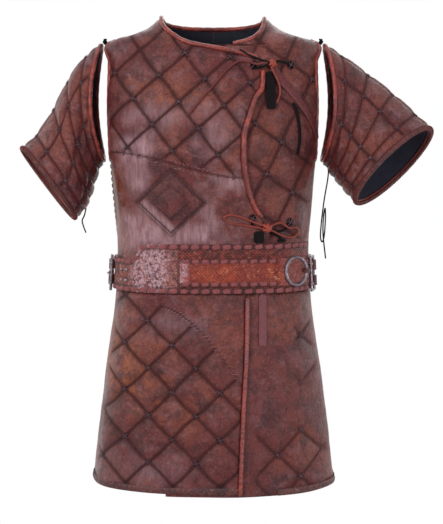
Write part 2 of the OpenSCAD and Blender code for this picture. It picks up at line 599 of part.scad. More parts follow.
function sleeve_out(c, a, t) = let (e = 0.01, t0 = max(0, t - e), t1 = min(1, t + e))
    unit(cross(sleeve_mid(c, a + 1, t) - sleeve_mid(c, a - 1, t), sleeve_mid(c, a, t1) - sleeve_mid(c, a, t0)));
function sleeve_point(c, a, t, off) = sleeve_mid(c, a, t) + off * sleeve_out(c, a, t);
sleeve_steps = 8;
sleeve_cols = 24;
function sleeve_grid(c, off) = [for (i = [0 : sleeve_steps]) [for (j = [0 : sleeve_cols - 1])
    sleeve_point(c, 360 * j / sleeve_cols, i / sleeve_steps, off)]];
module sided(side) { mirror([side < 0 ? 1 : 0, 0, 0]) children(); }
module sleeve(side) { color(leather) sided(side) shell(sleeve_grid(cuff_of(side), sleeve_t), sleeve_grid(cuff_of(side), 0), true); }
module sleeve_lining(side) {
    color("darkslategray") sided(side) shell(sleeve_grid(cuff_of(side), -0.6), sleeve_grid(cuff_of(side), -0.6 - lining_t), true);
}
function sleeve_ring(c, t, out) = beside([for (j = [0 : sleeve_cols - 1]) sleeve_point(c, 360 * j / sleeve_cols, t, sleeve_t / 2)],
    sleeve_ring_n(c, t), out, true);
function sleeve_ring_n(c, t) = [for (j = [0 : sleeve_cols - 1]) sleeve_out(c, 360 * j / sleeve_cols, t)];
module on_sleeve(c, a, t, off) {
    o = sleeve_point(c, a, t, off);
    n = sleeve_out(c, a, t);
    y = unit(sleeve_point(c, a, min(1, t + 0.02), off) - sleeve_point(c, a, max(0, t - 0.02), off));
    x = cross(y, n);
    multmatrix([[x[0], y[0], n[0], o[0]], [x[1], y[1], n[1], o[1]], [x[2], y[2], n[2], o[2]], [0, 0, 0, 1]]) children();
}
// Head piping, cuff binding and knots of one sleeve, where lines along it cross lines round it.
module sleeve_trim(side) {
    c = cuff_of(side);
    sided(side) {
        color("brown") tube(sleeve_ring(c, 0, piping_out), sleeve_ring_n(c, 0), piping_r, piping_r, 6, true);
        color("brown") tube(sleeve_ring(c, 1, -piping_out), sleeve_ring_n(c, 1), piping_r, piping_r, 6, true);
        color("black") for (i = [0 : 7], k = [1, 3, 5, 7]) on_sleeve(c, 45 * i + 15, k / sleeve_steps, sleeve_t + 0.4) knot();
    }
}

// Lace bundle in the valley between the two pipings at a shoulder tip, on the line that the sleeve turns about.
lace_bar_r = 2.6;
lace_wrap_r = 3.6;
lace_at = [(shoulder_half_w + sleeve_head_x) / 2 + 1.6, 0, -tip_drop + 2.4];
module shoulder_lace(side) {
    color("black") translate([side * lace_at[0], lace_at[1], lace_at[2]]) {
        rotate([90, 0, 0]) cylinder(h = 34, r = lace_bar_r, center = true, $fn = 32);
        for (y = [-11, 0, 11]) translate([0, y, 0]) rotate([90, 0, 0]) cylinder(h = 6, r = lace_wrap_r, center = true, $fn = 32);
        translate([0, 0, lace_wrap_r]) sphere(r = 3, $fn = 32);
    }
}

// Thin laces that hang from the sleeves' undersides, in the frame of the wearer's left side.
left_lace_route = [[218, -14, -280.5], [216, -16, -300], [210, -18, -335], [205, -20, -375], [203, -20, -405],
    [206, -20, -416], [210, -20, -405], [212, -22, -372], [211, -25, -352], [208, -28, -368], [207, -31, -400],
    [212, -32, -446]];
right_lace_route = [[240, -16, -353], [243, -18, -366], [247, -20, -376], [244, -21, -388], [240, -22, -398]];
module hanging_lace(route, per_stretch) {
    points = spline(route, per_stretch);
    tube(points, [for (p = points) [0, -1, 0]], lace_r, lace_r, 8);
}
module sleeve_lace_left() { color("black") hanging_lace(left_lace_route, 2); }
module sleeve_laces_right() { color("black") mirror([1, 0, 0]) hanging_lace(right_lace_route, 1); }

// Skirt flaps, each hinged on the line of the belt's lower edge, and their trim.
under_hem_extra = 6;
skirt_over_cols = 14;
skirt_under_cols = 13;
skirt_back_cols = 26;
over_skirt_edge = function (z) angle_x(over_x(max(z, -hem_drop)), z);
under_skirt_edge = function (z) angle_x(skirt_under_x, z);
module skirt_over() {
    color(leather) panel(skirt_rows(0), function (z) -90 + seam_deg, over_skirt_edge, skirt_over_cols, over_lift, leather_t);
}
module skirt_under() {
    color(leather) panel(skirt_rows(under_hem_extra), under_skirt_edge, function (z) 90 - seam_deg, skirt_under_cols, plain, leather_t);
}
module skirt_back() {
    color(leather) panel(skirt_rows(0), function (z) 90 + seam_deg, function (z) 270 - seam_deg, skirt_back_cols, plain, leather_t);
}
binding_h = 12;
binding_t = 1.6;
module hem_binding(z0, lo, hi, cols, off, first = 0) {
    panel([z0, z0 + binding_h], lo, hi, cols, function (f) off(f) + leather_t + 0.5, binding_t, first);
}
module skirt_knots(origin, pitch, count, off, inside) {
    front_knots(origin, [pitch, -pitch], [-pitch, -pitch], count, off, inside);
}
skirt_piping_top = -belt_low_drop - 6;
// Height of the curved seam across the over flap. The leather above it is plain.
skirt_seam_z = function (x) -belt_low_drop - 24 - 124 * pow(max(0, x + 90) / 130, 1.6);
module skirt_over_trim() {
    rows = [for (i = [0 : 6]) mix(-hem_drop, skirt_piping_top, i / 6)];
    edge_piping(rows, over_skirt_edge, piping_lift, 1);
    color("brown") hem_binding(-hem_drop, function (z) -90 + seam_deg, over_skirt_edge, skirt_over_cols, over_lift);
    skirt_knots([-30, -640], 43, 6, over_lift, function (x, z)
        z < -belt_low_drop - 12 && z > -hem_drop + 20 && x < over_x(z) - edge_room && x > -half_w(z) * 0.93
        && (x < -92 || z < skirt_seam_z(x) - 10));
}
module skirt_under_trim() {
    color("brown") hem_binding(-hem_drop - under_hem_extra, under_skirt_edge, function (z) 90 - seam_deg, skirt_under_cols, plain, 6);
    skirt_knots([118, -800], 43, 5, plain, function (x, z)
        z < -belt_low_drop - 30 && z > -hem_drop + 20 && x > over_x(z) + edge_room + 14 && x < half_w(z) * 0.93
        && (z < -740 || x > 150));
}
module skirt_back_trim() {
    color("brown") hem_binding(-hem_drop, function (z) 90 + seam_deg, function (z) 270 - seam_deg, skirt_back_cols, plain);
    color("black") for (side = [-1, 1], i = [0 : 4], j = [0 : 7]) {
        x = (i + 0.5) * 40;
        z = -belt_low_drop - 40 - j * 40;
        if ((i + j) % 2 == 0 && z > -hem_drop + 20 && x < half_w(z) * 0.9)
            on_skin(180 - side * angle_x(x, z), z, leather_t + contact + 0.1) knot();
    }
}

// Loose end of strap that hangs from under the belt.
tail_x = 90;
tail_half_w = 7;
tail_l = 96;
module belt_tail() {
    color("rosybrown") panel([for (i = [0 : 4]) mix(-belt_low_drop - hinge_gap - tail_l, -belt_low_drop - hinge_gap, i / 4)],
        function (z) angle_x(tail_x - tail_half_w, z), function (z) angle_x(tail_x + tail_half_w, z), 2,
        function (f) leather_t + 0.7, 2.2);
}

front_over_panel();
front_under_panel();
back_panel(-1);  // back_panel_right
back_panel(1);  // back_panel_left
lining_front_right();
lining_front_left();
lining_back(-1);  // lining_back_right
lining_back(1);  // lining_back_left
neck_piping_over();
neck_piping_under();
neck_piping_back();
front_edge_piping();
armhole_piping(-1);  // armhole_piping_right
armhole_piping(1);  // armhole_piping_left
over_panel_knots();
under_panel_knots();
back_panel_knots();
chest_patch();
yoke_seam_lacing();
side_lacing();
tie_eyelets();
neck_tie_knot();
neck_thong_thin();
neck_thong_wide();
neck_thong_short();
neck_lace_dark();
neck_tab();
waist_tie_knot();
waist_bow_left();
waist_bow_right();
belt_front();
belt_back();
belt_strap();
belt_lacing();
strap_lacing();
belt_rivets();
right_hip_tab();
left_hip_tab();
ring_tab();
right_hip_frame();
right_hip_tongue();
left_hip_frame();
belt_ring();
shoulder_lace(-1);  // shoulder_lace_right
shoulder_lace(1);  // shoulder_lace_left
sleeve(-1);  // sleeve_right
sleeve(1);  // sleeve_left
sleeve_lining(-1);  // sleeve_lining_right
sleeve_lining(1);  // sleeve_lining_left
sleeve_trim(-1);  // sleeve_trim_right
sleeve_trim(1);  // sleeve_trim_left
sleeve_laces_right();
sleeve_lace_left();
skirt_over();
skirt_under();
skirt_back();
skirt_over_trim();
skirt_under_trim();
skirt_back_trim();
belt_tail();
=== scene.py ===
"""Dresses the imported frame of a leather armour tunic: quilted leather, lacing, ties, belt and stage."""

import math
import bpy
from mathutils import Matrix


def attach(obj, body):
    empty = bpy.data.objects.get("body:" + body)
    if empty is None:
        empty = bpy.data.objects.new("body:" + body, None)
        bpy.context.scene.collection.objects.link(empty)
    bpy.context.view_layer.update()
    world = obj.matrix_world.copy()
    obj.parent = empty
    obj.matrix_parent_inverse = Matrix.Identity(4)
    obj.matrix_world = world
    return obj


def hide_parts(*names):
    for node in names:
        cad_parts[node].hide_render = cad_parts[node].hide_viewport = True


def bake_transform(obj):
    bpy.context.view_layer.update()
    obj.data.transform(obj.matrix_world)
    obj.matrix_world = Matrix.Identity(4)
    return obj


bl_info = {
    "name": "Leather Armour Tunic",
    "version": (1, 0, 0),
    "blender": (4, 5, 0),
    "location": "View3D > Sidebar > Tunic",
    "description": "Quilted leather tunic with laced sleeves, a split skirt and a wide laced belt",
    "category": "Add Mesh",
}

from functools import cached_property

import bpy
import numpy as np
from bpy.props import FloatProperty, FloatVectorProperty, PointerProperty
from mathutils import Vector, kdtree
from numpy.random import default_rng

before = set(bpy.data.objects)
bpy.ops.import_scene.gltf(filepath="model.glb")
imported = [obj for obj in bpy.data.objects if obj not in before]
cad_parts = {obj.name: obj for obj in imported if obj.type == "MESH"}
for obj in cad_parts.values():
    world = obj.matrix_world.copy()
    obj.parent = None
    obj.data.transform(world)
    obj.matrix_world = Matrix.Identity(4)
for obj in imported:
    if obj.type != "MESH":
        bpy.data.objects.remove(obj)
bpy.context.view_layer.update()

# Sizes of the body in millimetres, as in the frame. X runs to the wearer's left and the front faces -Y.
MM = 0.001
LEATHER = 3.5
SLEEVE_LEATHER = 3.0
LAYER_GAP = 0.9
LINING = 1.0
LAP = LEATHER + LAYER_GAP
PIPING_R = 4.0
PIPING_OUT = 4.3
ROLL_OUT = PIPING_OUT - 1.2
SQUARENESS = 2.4
NECK_HALF_W = 97
NECK_FRONT_DROP = 55
NECK_FRONT_POWER = 2.6
NECK_BACK_DROP = 15
SHOULDER_HALF_W = 190
TIP_DROP = 44
UPPER_HALF_W = 205
CHEST_HALF_W = 191
CHEST_DEPTH = 132
ARMPIT_DROP = 258
ARMHOLE_HALF_D = 56
WAIST_HALF_W = 178
WAIST_DEPTH = 119
HEM_HALF_W = 226
HEM_DEPTH = 150
HEM_DROP = 868
BELT_TOP = 413
BELT_H = 91
BELT_END_H = 60
BELT_T = 4
STRAP_H = 50
STRAP_T = 3
BELT_LOW = BELT_TOP + BELT_H
ARM_MID = -(TIP_DROP + ARMPIT_DROP) / 2
ARM_HALF_H = (ARMPIT_DROP - TIP_DROP) / 2
TOP_Z = -1.5
SEAM_DEG = 0.1
HINGE_GAP = 0.5
UNDER_X = -70
SKIRT_UNDER_X = -86
BINDING_H = 12
UNDER_HEM_EXTRA = 6
BELT_BASE = -BELT_LOW + 1
BACK_SEAM_DEG = 0.01
BELT_FROM = -86
BELT_TO = 70
STRAP_FROM = -19
STRAP_TO = 62
STRAP_FREE = 37
STRAP_LOW = BELT_BASE + 13
STRAP_TOP = STRAP_LOW + STRAP_H
HIP_Z = BELT_BASE + BELT_END_H / 2
HIP_LIFT = 14.1
FRAME_W = 30
FRAME_H = 62
KNOB_R = 4.2
RIVET_R = 3.6
RIVET_H = 2.0
STRAP_GAP = 0.5
# The frames at the hips: angle round the body, which way the frame points, and its name.
HIPS = ((-84, 1, "right_hip_frame"), (75, -1, "left_hip_frame"))
LACE_AT = (202.6, -41.6)
SKIRT_PIPING_TOP = -BELT_LOW - 6
SIDES = ((-1, "right"), (1, "left"))
UP = np.array([0, 0, 1.0])
SHARP_DEG = 55
TABLE = 64
WHITE = (1, 1, 1, 1)

# Height, half width, front depth and back depth of the body's plan.
STATIONS = np.array([
    [-HEM_DROP, HEM_HALF_W, HEM_DEPTH, HEM_DEPTH - 4],
    [-(HEM_DROP + BELT_LOW) / 2, (HEM_HALF_W + WAIST_HALF_W) / 2 + 3,
     (HEM_DEPTH + WAIST_DEPTH) / 2 + 3, (HEM_DEPTH + WAIST_DEPTH) / 2 - 1],
    [-BELT_LOW, WAIST_HALF_W + 3, WAIST_DEPTH + 3, WAIST_DEPTH - 5],
    [-BELT_TOP, WAIST_HALF_W, WAIST_DEPTH, WAIST_DEPTH - 9],
    [-ARMPIT_DROP, CHEST_HALF_W, CHEST_DEPTH, CHEST_DEPTH - 14],
    [ARM_MID, UPPER_HALF_W, CHEST_DEPTH - 8, CHEST_DEPTH - 14],
    [-TIP_DROP - 36, (UPPER_HALF_W + SHOULDER_HALF_W) / 2 + 3, CHEST_DEPTH - 28, CHEST_DEPTH - 26],
    [-TIP_DROP, SHOULDER_HALF_W, CHEST_DEPTH - 42, CHEST_DEPTH - 38],
    [-TIP_DROP * 0.64, (SHOULDER_HALF_W + NECK_HALF_W) / 2 - 6, CHEST_DEPTH - 52, CHEST_DEPTH - 48],
    [0, NECK_HALF_W, CHEST_DEPTH - 66, CHEST_DEPTH - 60],
    [30, NECK_HALF_W - 22, CHEST_DEPTH - 82, CHEST_DEPTH - 72],
])

# Front edge of the lapped panel: height and distance to the wearer's left, from hem to neckline.
OVER_EDGE = np.array([
    [-HEM_DROP, 45], [-735, 50], [-589, 57], [-BELT_LOW, 58], [-386, 94], [-364, 84], [-346, 72],
    [-321, 63], [-296, 57], [-270, 53], [-240, 52], [-217, 53], [-184, 61], [-165, 67], [-147, 74],
    [-131, 85], [-114, 86], [-96, 86], [-83, 82], [-76, 62], [-68, 28], [-60, -16], [-54, -44],
    [-44, -66], [-30, -NECK_HALF_W + 12], [-14, -NECK_HALF_W + 3], [TOP_Z, -NECK_HALF_W + 1],
])


def linear(*levels):
    """A colour given as 0 to 255 screen values, in the linear values that shaders use."""
    return tuple(c / 255 / 12.92 if c < 11 else ((c / 255 + 0.055) / 1.055) ** 2.4 for c in levels)


def colour_property(name, description, *levels):
    return FloatVectorProperty(name=name, description=description, default=linear(*levels), size=3, min=0,
                               max=1, subtype="COLOR")


def length_property(name, description, default, **limits):
    return FloatProperty(name=name, description=description, default=default, unit="LENGTH",
                         subtype="DISTANCE", precision=5, **limits)


def size_property(name, description, default):
    """A small length, with its default in millimetres."""
    return length_property(name, description, default * MM, min=0)


def power_property(name, description, default):
    return FloatProperty(name=name, description=description, default=default, min=0, unit="POWER")


class TunicQuilting(bpy.types.PropertyGroup):
    """How the leather swells between its quilting lines."""

    puff: size_property("Puff", "Height that the leather swells to between quilting lines", 3.2)
    reach: size_property("Reach", "Distance from a line at which the swelling is nearly full", 11)
    crease: size_property("Crease", "Depth of the line itself", 1.1)
    crease_w: size_property("Crease width", "Half width of the line", 1.8)
    dimple: size_property("Dimple", "Depth of the hollow under a knot", 1.2)
    step: size_property("Step", "Distance between neighbouring points of the leather meshes", 2.6)
    sway: FloatProperty(name="Sway", description="How far a line bows between knots, as a share of the pitch",
                        default=0.045, min=0, max=0.2)


class TunicLeather(bpy.types.PropertyGroup):
    """Colours of the body leather."""

    main: colour_property("Main", "Commonest tone of the body leather", 118, 51, 49)
    deep: colour_property("Deep", "Dark cloudy patches", 54, 18, 26)
    warm: colour_property("Warm", "Red-brown patches", 140, 70, 58)
    # Orange-brown patches, some placed where highlight strips fall: orange tone and painted highlight
    # together.
    tan: colour_property("Tan", "Rubbed orange-brown patches", 178, 98, 66)
    # Grey-pink of leather wear, used also for the painted sheen and the pale painted glints.
    worn: colour_property("Worn", "Greyish pink bloom where the leather is rubbed", 188, 142, 150)
    # Dark of the painted shade along the quilting grooves, also a darker tone elsewhere.
    crease: colour_property("Crease", "Quilting lines", 40, 5, 9)
    lining: colour_property("Lining", "Dark lining cloth", 38, 38, 52)


class TunicTrim(bpy.types.PropertyGroup):
    """Colours of the pipings, laces, ties and belt."""

    piping: colour_property("Piping", "Glossy rolled piping", 184, 76, 64)
    piping_deep: colour_property("Piping shade", "Dark stretches of the piping", 104, 36, 36)
    thong: colour_property("Thong", "Orange thong", 160, 74, 62)
    strap: colour_property("Wide strap", "Wide strap at the neck", 120, 58, 60)
    lace: colour_property("Lace", "Pinkish lace round the belt's edges", 160, 88, 90)
    belt: colour_property("Belt", "Belt band", 122, 34, 34)
    belt_bright: colour_property("Belt strap", "Bright embossed strap", 156, 60, 46)
    # Pale colour of the belt's end that shows wear. Its pale speckles are partly painted glints.
    belt_wear_and_sheen: colour_property("Belt worn", "Rubbed end of the belt", 232, 186, 196)
    stitch: colour_property("Stitch", "Thread along the quilting lines", 98, 30, 30)
    thread: colour_property("Thread", "Knot thread", 104, 72, 82)
    black: colour_property("Black", "Dark lace and tab", 10, 6, 8)
    steel: colour_property("Steel", "Frames, ring and rivets", 126, 114, 122)


class TunicStage(bpy.types.PropertyGroup):
    """Camera, lamps and floor."""

    distance: length_property("Distance", "From the camera to the middle plane", 2.6, min=1)
    camera_z: length_property("Camera height", "Height of the camera above the neck", -0.225)
    aim_x: length_property("Aim across", "Where the camera looks, across", 0.016)
    aim_z: length_property("Aim height", "Where the camera looks, in height", -0.456)
    view_h: length_property("View height", "Height that the picture spans", 0.9956, min=0.2)
    key: power_property("Key lamp", "Power of the key lamp", 30)
    fill: power_property("Fill lamp", "Power of the front fill lamp", 17)
    rim: power_property("Rim lamps", "Power of each top and side lamp, half that of the back lamp", 7)
    world: FloatProperty(name="World", description="Strength of the light from all round", default=0.1, min=0)
    floor_z: length_property("Floor height", "The floor lies well below the hanging tunic", -1.5)
    floor_r: length_property("Floor size", "Radius of the round floor", 1.2, min=0.1)


# Surface of the body: f is the angle round from the front towards the wearer's left, in degrees.
def smooth(low, high, value):
    t = np.clip((value - low) / (high - low), 0, 1)
    return t * t * (3 - 2 * t)


def unit(vectors):
    return vectors / np.maximum(np.linalg.norm(vectors, axis=-1, keepdims=True), 1e-9)


def bell(gap, width):
    """1 where the gap is nothing, and hardly more than 0 beyond twice the width."""
    return np.exp(-(gap / width)**2)


def curve(t, v, middle, z):
    """Values at z of the curve through v at t. middle gives a point's slope from the rises beside it."""
    rises = np.diff(v) / np.diff(t)
    slopes = np.concatenate([rises[:1], middle(rises[1:], rises[:-1]), rises[-1:]])
    i = np.clip(np.searchsorted(t, z, side="right") - 1, 0, len(t) - 2)
    h = t[i + 1] - t[i]
    u = (z - t[i]) / h
    start, end = v[i] * (2 * u**3 - 3 * u**2 + 1), v[i + 1] * (3 * u**2 - 2 * u**3)
    return start + end + h * (slopes[i] * (u**3 - 2 * u**2 + u) + slopes[i + 1] * (u**3 - u**2))


def station(column, z):
    return curve(STATIONS[:, 0], STATIONS[:, column], lambda a, b: (a + b) / 2, np.asarray(z, float))


def half_width(z):
    return station(1, z)


def depth_at(z, back=False):
    return station(3 if back else 2, z)


def base(f, z):
    n = SQUARENESS
    s, c = np.sin(np.radians(f)), np.cos(np.radians(f))
    k = (np.abs(s)**n + np.abs(c)**n)**(-1 / n)
    deep = np.where(c >= 0, depth_at(z), depth_at(z, True))
    return np.stack(np.broadcast_arrays(half_width(z) * s * k, -deep * c * k, z), axis=-1)


def outward(f, z):
    return unit(np.cross(base(f + 1, z) - base(f - 1, z), base(f, z + 2) - base(f, z - 2)))


def fold(f, z):
    """Soft folds that every layer shares, none at the belt, the armholes and the neck."""
    a = np.radians(f)
    torso = smooth(-235, -330, z) * smooth(-BELT_TOP + 2, -BELT_TOP + 60, z)
    skirt = smooth(-545, -760, z)
    side = smooth(30, 85, np.abs(f)) * smooth(200, 130, np.abs(f))
    return (torso * side * 2.0 * np.sin(13 * a + 0.01 * z)
            + skirt * (1.7 * np.sin(5 * a + 0.7) + 1.1 * np.sin(11 * a - 0.4)))


def skin(f, z, off):
    return base(f, z) + np.asarray(off + fold(f, z))[..., None] * outward(f, z)


def angle_x(x, z):
    v = np.minimum(0.9999, np.abs(x) / half_width(z))
    return np.sign(x) * np.degrees(np.arctan2(v, (1 - v**SQUARENESS)**(1 / SQUARENESS)))


def angle_y(y, z, back=False):
    v = np.minimum(0.9999, y / depth_at(z, back))
    return np.degrees(np.arctan2((1 - v**SQUARENESS)**(1 / SQUARENESS), v))


def neck_x(z, drop):
    power = NECK_FRONT_POWER
    return NECK_HALF_W * np.maximum(0, 1 - np.minimum(1, -z / drop)**power)**(1 / power)


def arm_y(z):
    return ARMHOLE_HALF_D * np.sqrt(np.maximum(0, 1 - ((z - ARM_MID) / ARM_HALF_H)**2))


def side_f(z, back=False):
    y = arm_y(z)
    return np.where(y > 0, angle_y(y, z, back), 90 - SEAM_DEG)


def tame(a, b):
    """A middle of two slopes that never lets the curve swing past its points."""
    same = a * b > 0
    return np.where(same, 2 * a * b / np.where(same, a + b, 1), 0)


def over_x(z):
    """Distance of the lapped edge to the wearer's left."""
    t, v = OVER_EDGE.T
    return curve(t, v, tame, np.clip(z, t[0], t[-1]))


def over_edge_f(z):
    return angle_x(over_x(z), z)


def neck_f(z, drop, low):
    """Angle of the neck opening's edge, which ends at low."""
    return angle_x(neck_x(np.maximum(z, low), drop), z)


def under_inner_f(z):
    neck = neck_f(z, NECK_FRONT_DROP, -NECK_FRONT_DROP)
    return np.where(z > -NECK_FRONT_DROP + 1, neck, angle_x(UNDER_X, z))


def under_mid_f(z):
    """A line on the under panel that doesn't jump where its inner edge does."""
    inner = neck_f(z, NECK_FRONT_DROP, 1 - NECK_FRONT_DROP)
    return inner + 0.33 * (side_f(z) - inner)


def back_inner_f(z):
    return np.where(z > -NECK_BACK_DROP, neck_f(z, NECK_BACK_DROP, -NECK_BACK_DROP), BACK_SEAM_DEG)


def back_edges(side):
    """The two edges of a back panel, as functions of the height."""
    seam, edge = (lambda z: 180 - side * back_inner_f(z)), (lambda z: 180 - side * side_f(z, True))
    return (edge, seam) if side > 0 else (seam, edge)


def steady(value):
    """A function that gives one value for every angle or height."""
    return lambda v: value + 0 * v


def over_lift(f):
    return LAP * smooth(-75, -35, f)


def belt_lift(f):
    return LAP + LAP * smooth(-75, -35, f) * (1 - smooth(38, 62, f))


def no_lift(f):
    return 0 * f


def wander(u, v, size, seed):
    """Smooth noise from -1 to 1 over two coordinates, with features about size across."""
    table = default_rng(seed).uniform(-1, 1, (TABLE, TABLE))
    a, b = np.asarray(u) / size, np.asarray(v) / size
    i, j = np.floor(a).astype(int), np.floor(b).astype(int)
    s, t = a - i, b - j
    s, t = s * s * (3 - 2 * s), t * t * (3 - 2 * t)
    i, j, k, m = i % TABLE, j % TABLE, (i + 1) % TABLE, (j + 1) % TABLE
    low = table[i, j] * (1 - s) + table[k, j] * s
    high = table[i, m] * (1 - s) + table[k, m] * s
    return low * (1 - t) + high * t


class Lattice:
    """Quilting lines through the points origin + i * a + j * b. A mirrored one is the same on both sides."""

    def __init__(self, origin, a, b, seed, mirrored=False):
        self.origin, self.a, self.b = np.array(origin, float), np.array(a), np.array(b)
        self.mirrored = mirrored
        sway = bpy.context.scene.tunic_quilting.sway
        self.bows = sway * default_rng(seed).uniform(-1, 1, (2, TABLE, TABLE))

    def measure(self, x, z):
        """Distance to the nearest line, and distance and direction to the nearest knot."""
        (ax, az), (bx, bz) = self.a, self.b
        p, q = (np.abs(x) if self.mirrored else x) - self.origin[0], z - self.origin[1]
        area = ax * bz - az * bx
        i, j = (p * bz - q * bx) / area, (ax * q - az * p) / area
        ri, rj = np.round(i).astype(int), np.round(j).astype(int)
        bow_i = self.bows[0, ri % TABLE, np.floor(j).astype(int) % TABLE] * np.sin(np.pi * (j % 1))
        bow_j = self.bows[1, np.floor(i).astype(int) % TABLE, rj % TABLE] * np.sin(np.pi * (i % 1))
        di = np.abs(i + bow_i - ri) * abs(area) / np.linalg.norm(self.b)
        dj = np.abs(j + bow_j - rj) * abs(area) / np.linalg.norm(self.a)
        kx, kz = p - ri * ax - rj * bx, q - ri * az - rj * bz
        return np.minimum(di, dj), np.hypot(kx, kz), np.arctan2(kz, kx)

    def threads(self, count):
        """The lines from knot to knot, each as rows of x and z."""
        s, steps, rows = np.linspace(0, 1, 13), range(-count, count + 1), []
        for i, j in ((i, j) for i in steps for j in steps):
            bow = self.bows[:, i % TABLE, j % TABLE, None] * np.sin(np.pi * s)
            rows.append(self.origin + np.outer(i - bow[0], self.a) + np.outer(j + s, self.b))
            rows.append(self.origin + np.outer(i + s, self.a) + np.outer(j - bow[1], self.b))
        if self.mirrored:
            return [row * [way, 1] for row in rows if row[:, 0].mean() > 0 for way in (-1, 1)]
        return rows

    def knots(self, count, inside):
        """The knots' places where inside says so, clear of the ties."""
        steps = range(-count, count + 1)
        places = [self.origin + i * self.a + j * self.b for i in steps for j in steps]
        return [p for p in places if is_clear(*p) and inside(*p)]


def quilted(line, knot, turn, zone, x, z, seed):
    """Relief in millimetres of quilted leather, a crease mark of painted shade in and beside the grooves and
    round the knots, and a mark of wear and painted sheen on the swells.
    """
    q = bpy.context.scene.tunic_quilting
    puff, reach, crease, width, dimple = (v / MM for v in (q.puff, q.reach, q.crease, q.crease_w, q.dimple))
    swell = 1 - bell(line, reach)
    pleats = 0.45 * np.cos(9 * turn + 3 * wander(x, z, 40, seed)) * np.exp(-knot / 8) * smooth(1, 6, knot)
    pull = 0.5 * np.cos(line * 0.9) * np.exp(-line / 6) * wander(x, z, 12, seed + 1)
    waves = ((0.8, 55, 2), (0.35, 21, 3), (0.12, 8, 4))
    soft = sum(high * wander(x, z, size, seed + k) for high, size, k in waves)
    relief = zone * (puff * swell - crease * bell(line, width) - dimple * bell(knot, 5) + pleats + pull
                     - 0.4 * puff) + soft
    # Painted shade: dark in the grooves and the dimples under the knots, with a soft painted shadow beside
    # the lines.
    mark = zone * np.clip(bell(line, width * 1.35) + 0.5 * bell(knot, 6) + 0.34 * np.exp(-line / 6), 0, 1)
    # Wear and painted sheen, strongest on the swells between the lines.
    worn = smooth(0.2, 0.95, swell * zone + 0.5 * (1 - zone) + 0.4 * wander(x, z, 34, seed + 5))
    return relief, mark, worn


# Meshes
def add_object(name, data):
    made = bpy.data.objects.new(name, data)
    bpy.context.scene.collection.objects.link(made)
    return made


def add_piece(name, shape, material, body, slot, *nodes, marks=None):
    """A mesh of points in millimetres and faces of four corners, or three where the last is -1. It rides on a
    body, except that on a skirt flap it keeps its place with its transform applied, and it stands for its
    nodes."""
    points, quads = shape
    sizes = np.where(quads[:, 3] < 0, 3, 4)
    loops = quads[quads >= 0]
    mesh = bpy.data.meshes.new(name)
    mesh.vertices.add(len(points))
    mesh.vertices.foreach_set("co", (points * MM).ravel())
    mesh.loops.add(len(loops))
    mesh.loops.foreach_set("vertex_index", loops)
    mesh.polygons.add(len(quads))
    mesh.polygons.foreach_set("loop_start", np.concatenate([[0], np.cumsum(sizes)[:-1]]))
    mesh.polygons.foreach_set("loop_total", sizes)
    mesh.polygons.foreach_set("use_smooth", np.ones(len(quads), bool))
    mesh.update(calc_edges=True)
    mesh.validate()
    mesh.set_sharp_from_angle(angle=math.radians(SHARP_DEG))
    for mark, values in (marks or {}).items():
        layer = mesh.attributes.new(mark, "FLOAT", "POINT")
        layer.data.foreach_set("value", np.asarray(values, np.float32))
    mesh.materials.append(bpy.data.materials[material])
    made = add_object(name, mesh)
    if body.startswith("skirt"):
        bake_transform(made)
    else:
        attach(made, body)
    if nodes:
        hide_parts(*nodes)
    return made


def faced(inside=0, **tones):
    """Marks of a shell from those of its outer grid. Those of the inner one are inside times as strong."""
    return {key: np.concatenate([v.ravel(), inside * v.ravel()]) for key, v in tones.items()}


def corners(*numbers):
    """Faces from the numbers of their four corners."""
    return np.stack(np.broadcast_arrays(*numbers), axis=-1).reshape(-1, 4)


def shell(outer, inner, ring=False, flip=False):
    """Points and faces of a closed shell between two grids of points."""
    rows, cols = outer.shape[:2]
    j = np.arange(cols if ring else cols - 1)
    k = (j + 1) % cols
    low = np.arange(rows - 1)[:, None] * cols
    high, far, top = low + cols, rows * cols, (rows - 1) * cols
    faces = [corners(low + j, low + k, high + k, high + j),
             far + corners(high + j, high + k, low + k, low + j),
             corners(far + j, far + k, k, j),
             corners(top + j, top + k, far + top + k, far + top + j)]
    if not ring:
        faces.append(corners(far + low, low, high, far + high))
        low, high = low + cols - 1, high + cols - 1
        faces.append(corners(low, far + low, far + high, high))
    faces = np.concatenate(faces)
    return np.concatenate([outer.reshape(-1, 3), inner.reshape(-1, 3)]), faces[:, ::-1] if flip else faces


def layer(f, z, inner, outer):
    """A shell over part of the body, between two distances off its surface."""
    return shell(skin(f, z, outer), skin(f, z, inner))


def near_tree(points):
    """Finds the nearest of some points."""
    tree = kdtree.KDTree(len(points))
    for k, p in enumerate(points):
        tree.insert(p, k)
    tree.balance()
    return tree


def border_gap(points):
    """Distance from each point of a grid to the grid's nearest edge."""
    tree = near_tree(np.concatenate([points[0], points[-1], points[:, 0], points[:, -1]]))
    return np.array([tree.find(p)[2] for p in points.reshape(-1, 3)]).reshape(points.shape[:-1])


def rows_between(*stops):
    """Heights from stop to stop: pairs of a height and the spacing above it, and a last height."""
    heights = []
    for (low, step), high in zip(stops[:-1], [s[0] for s in stops[1:]]):
        count = max(1, round((high - low) / step))
        heights.extend(np.linspace(low, high, count, endpoint=False))
    return np.array(heights + [stops[-1][0]])


def grid_of(rows, lo, hi, cols, mid=None):
    """Angles and heights of a panel between two edges. A third of the columns ends at mid, if it is given."""
    share = np.linspace(0, 1, cols + 1)
    low, high = lo(rows)[:, None], hi(rows)[:, None]
    f = low * (1 - share) + high * share
    if mid:
        m = mid(rows)[:, None]
        f = np.where(share < 1 / 3, low + (m - low) * 3 * share, m + (high - m) * (1.5 * share - 0.5))
    return f, np.broadcast_to(rows[:, None], f.shape)


def directions(path, closed=False):
    """Unit vectors along a path."""
    return unit(np.roll(path, -1, 0) - np.roll(path, 1, 0) if closed else np.gradient(path, axis=0))


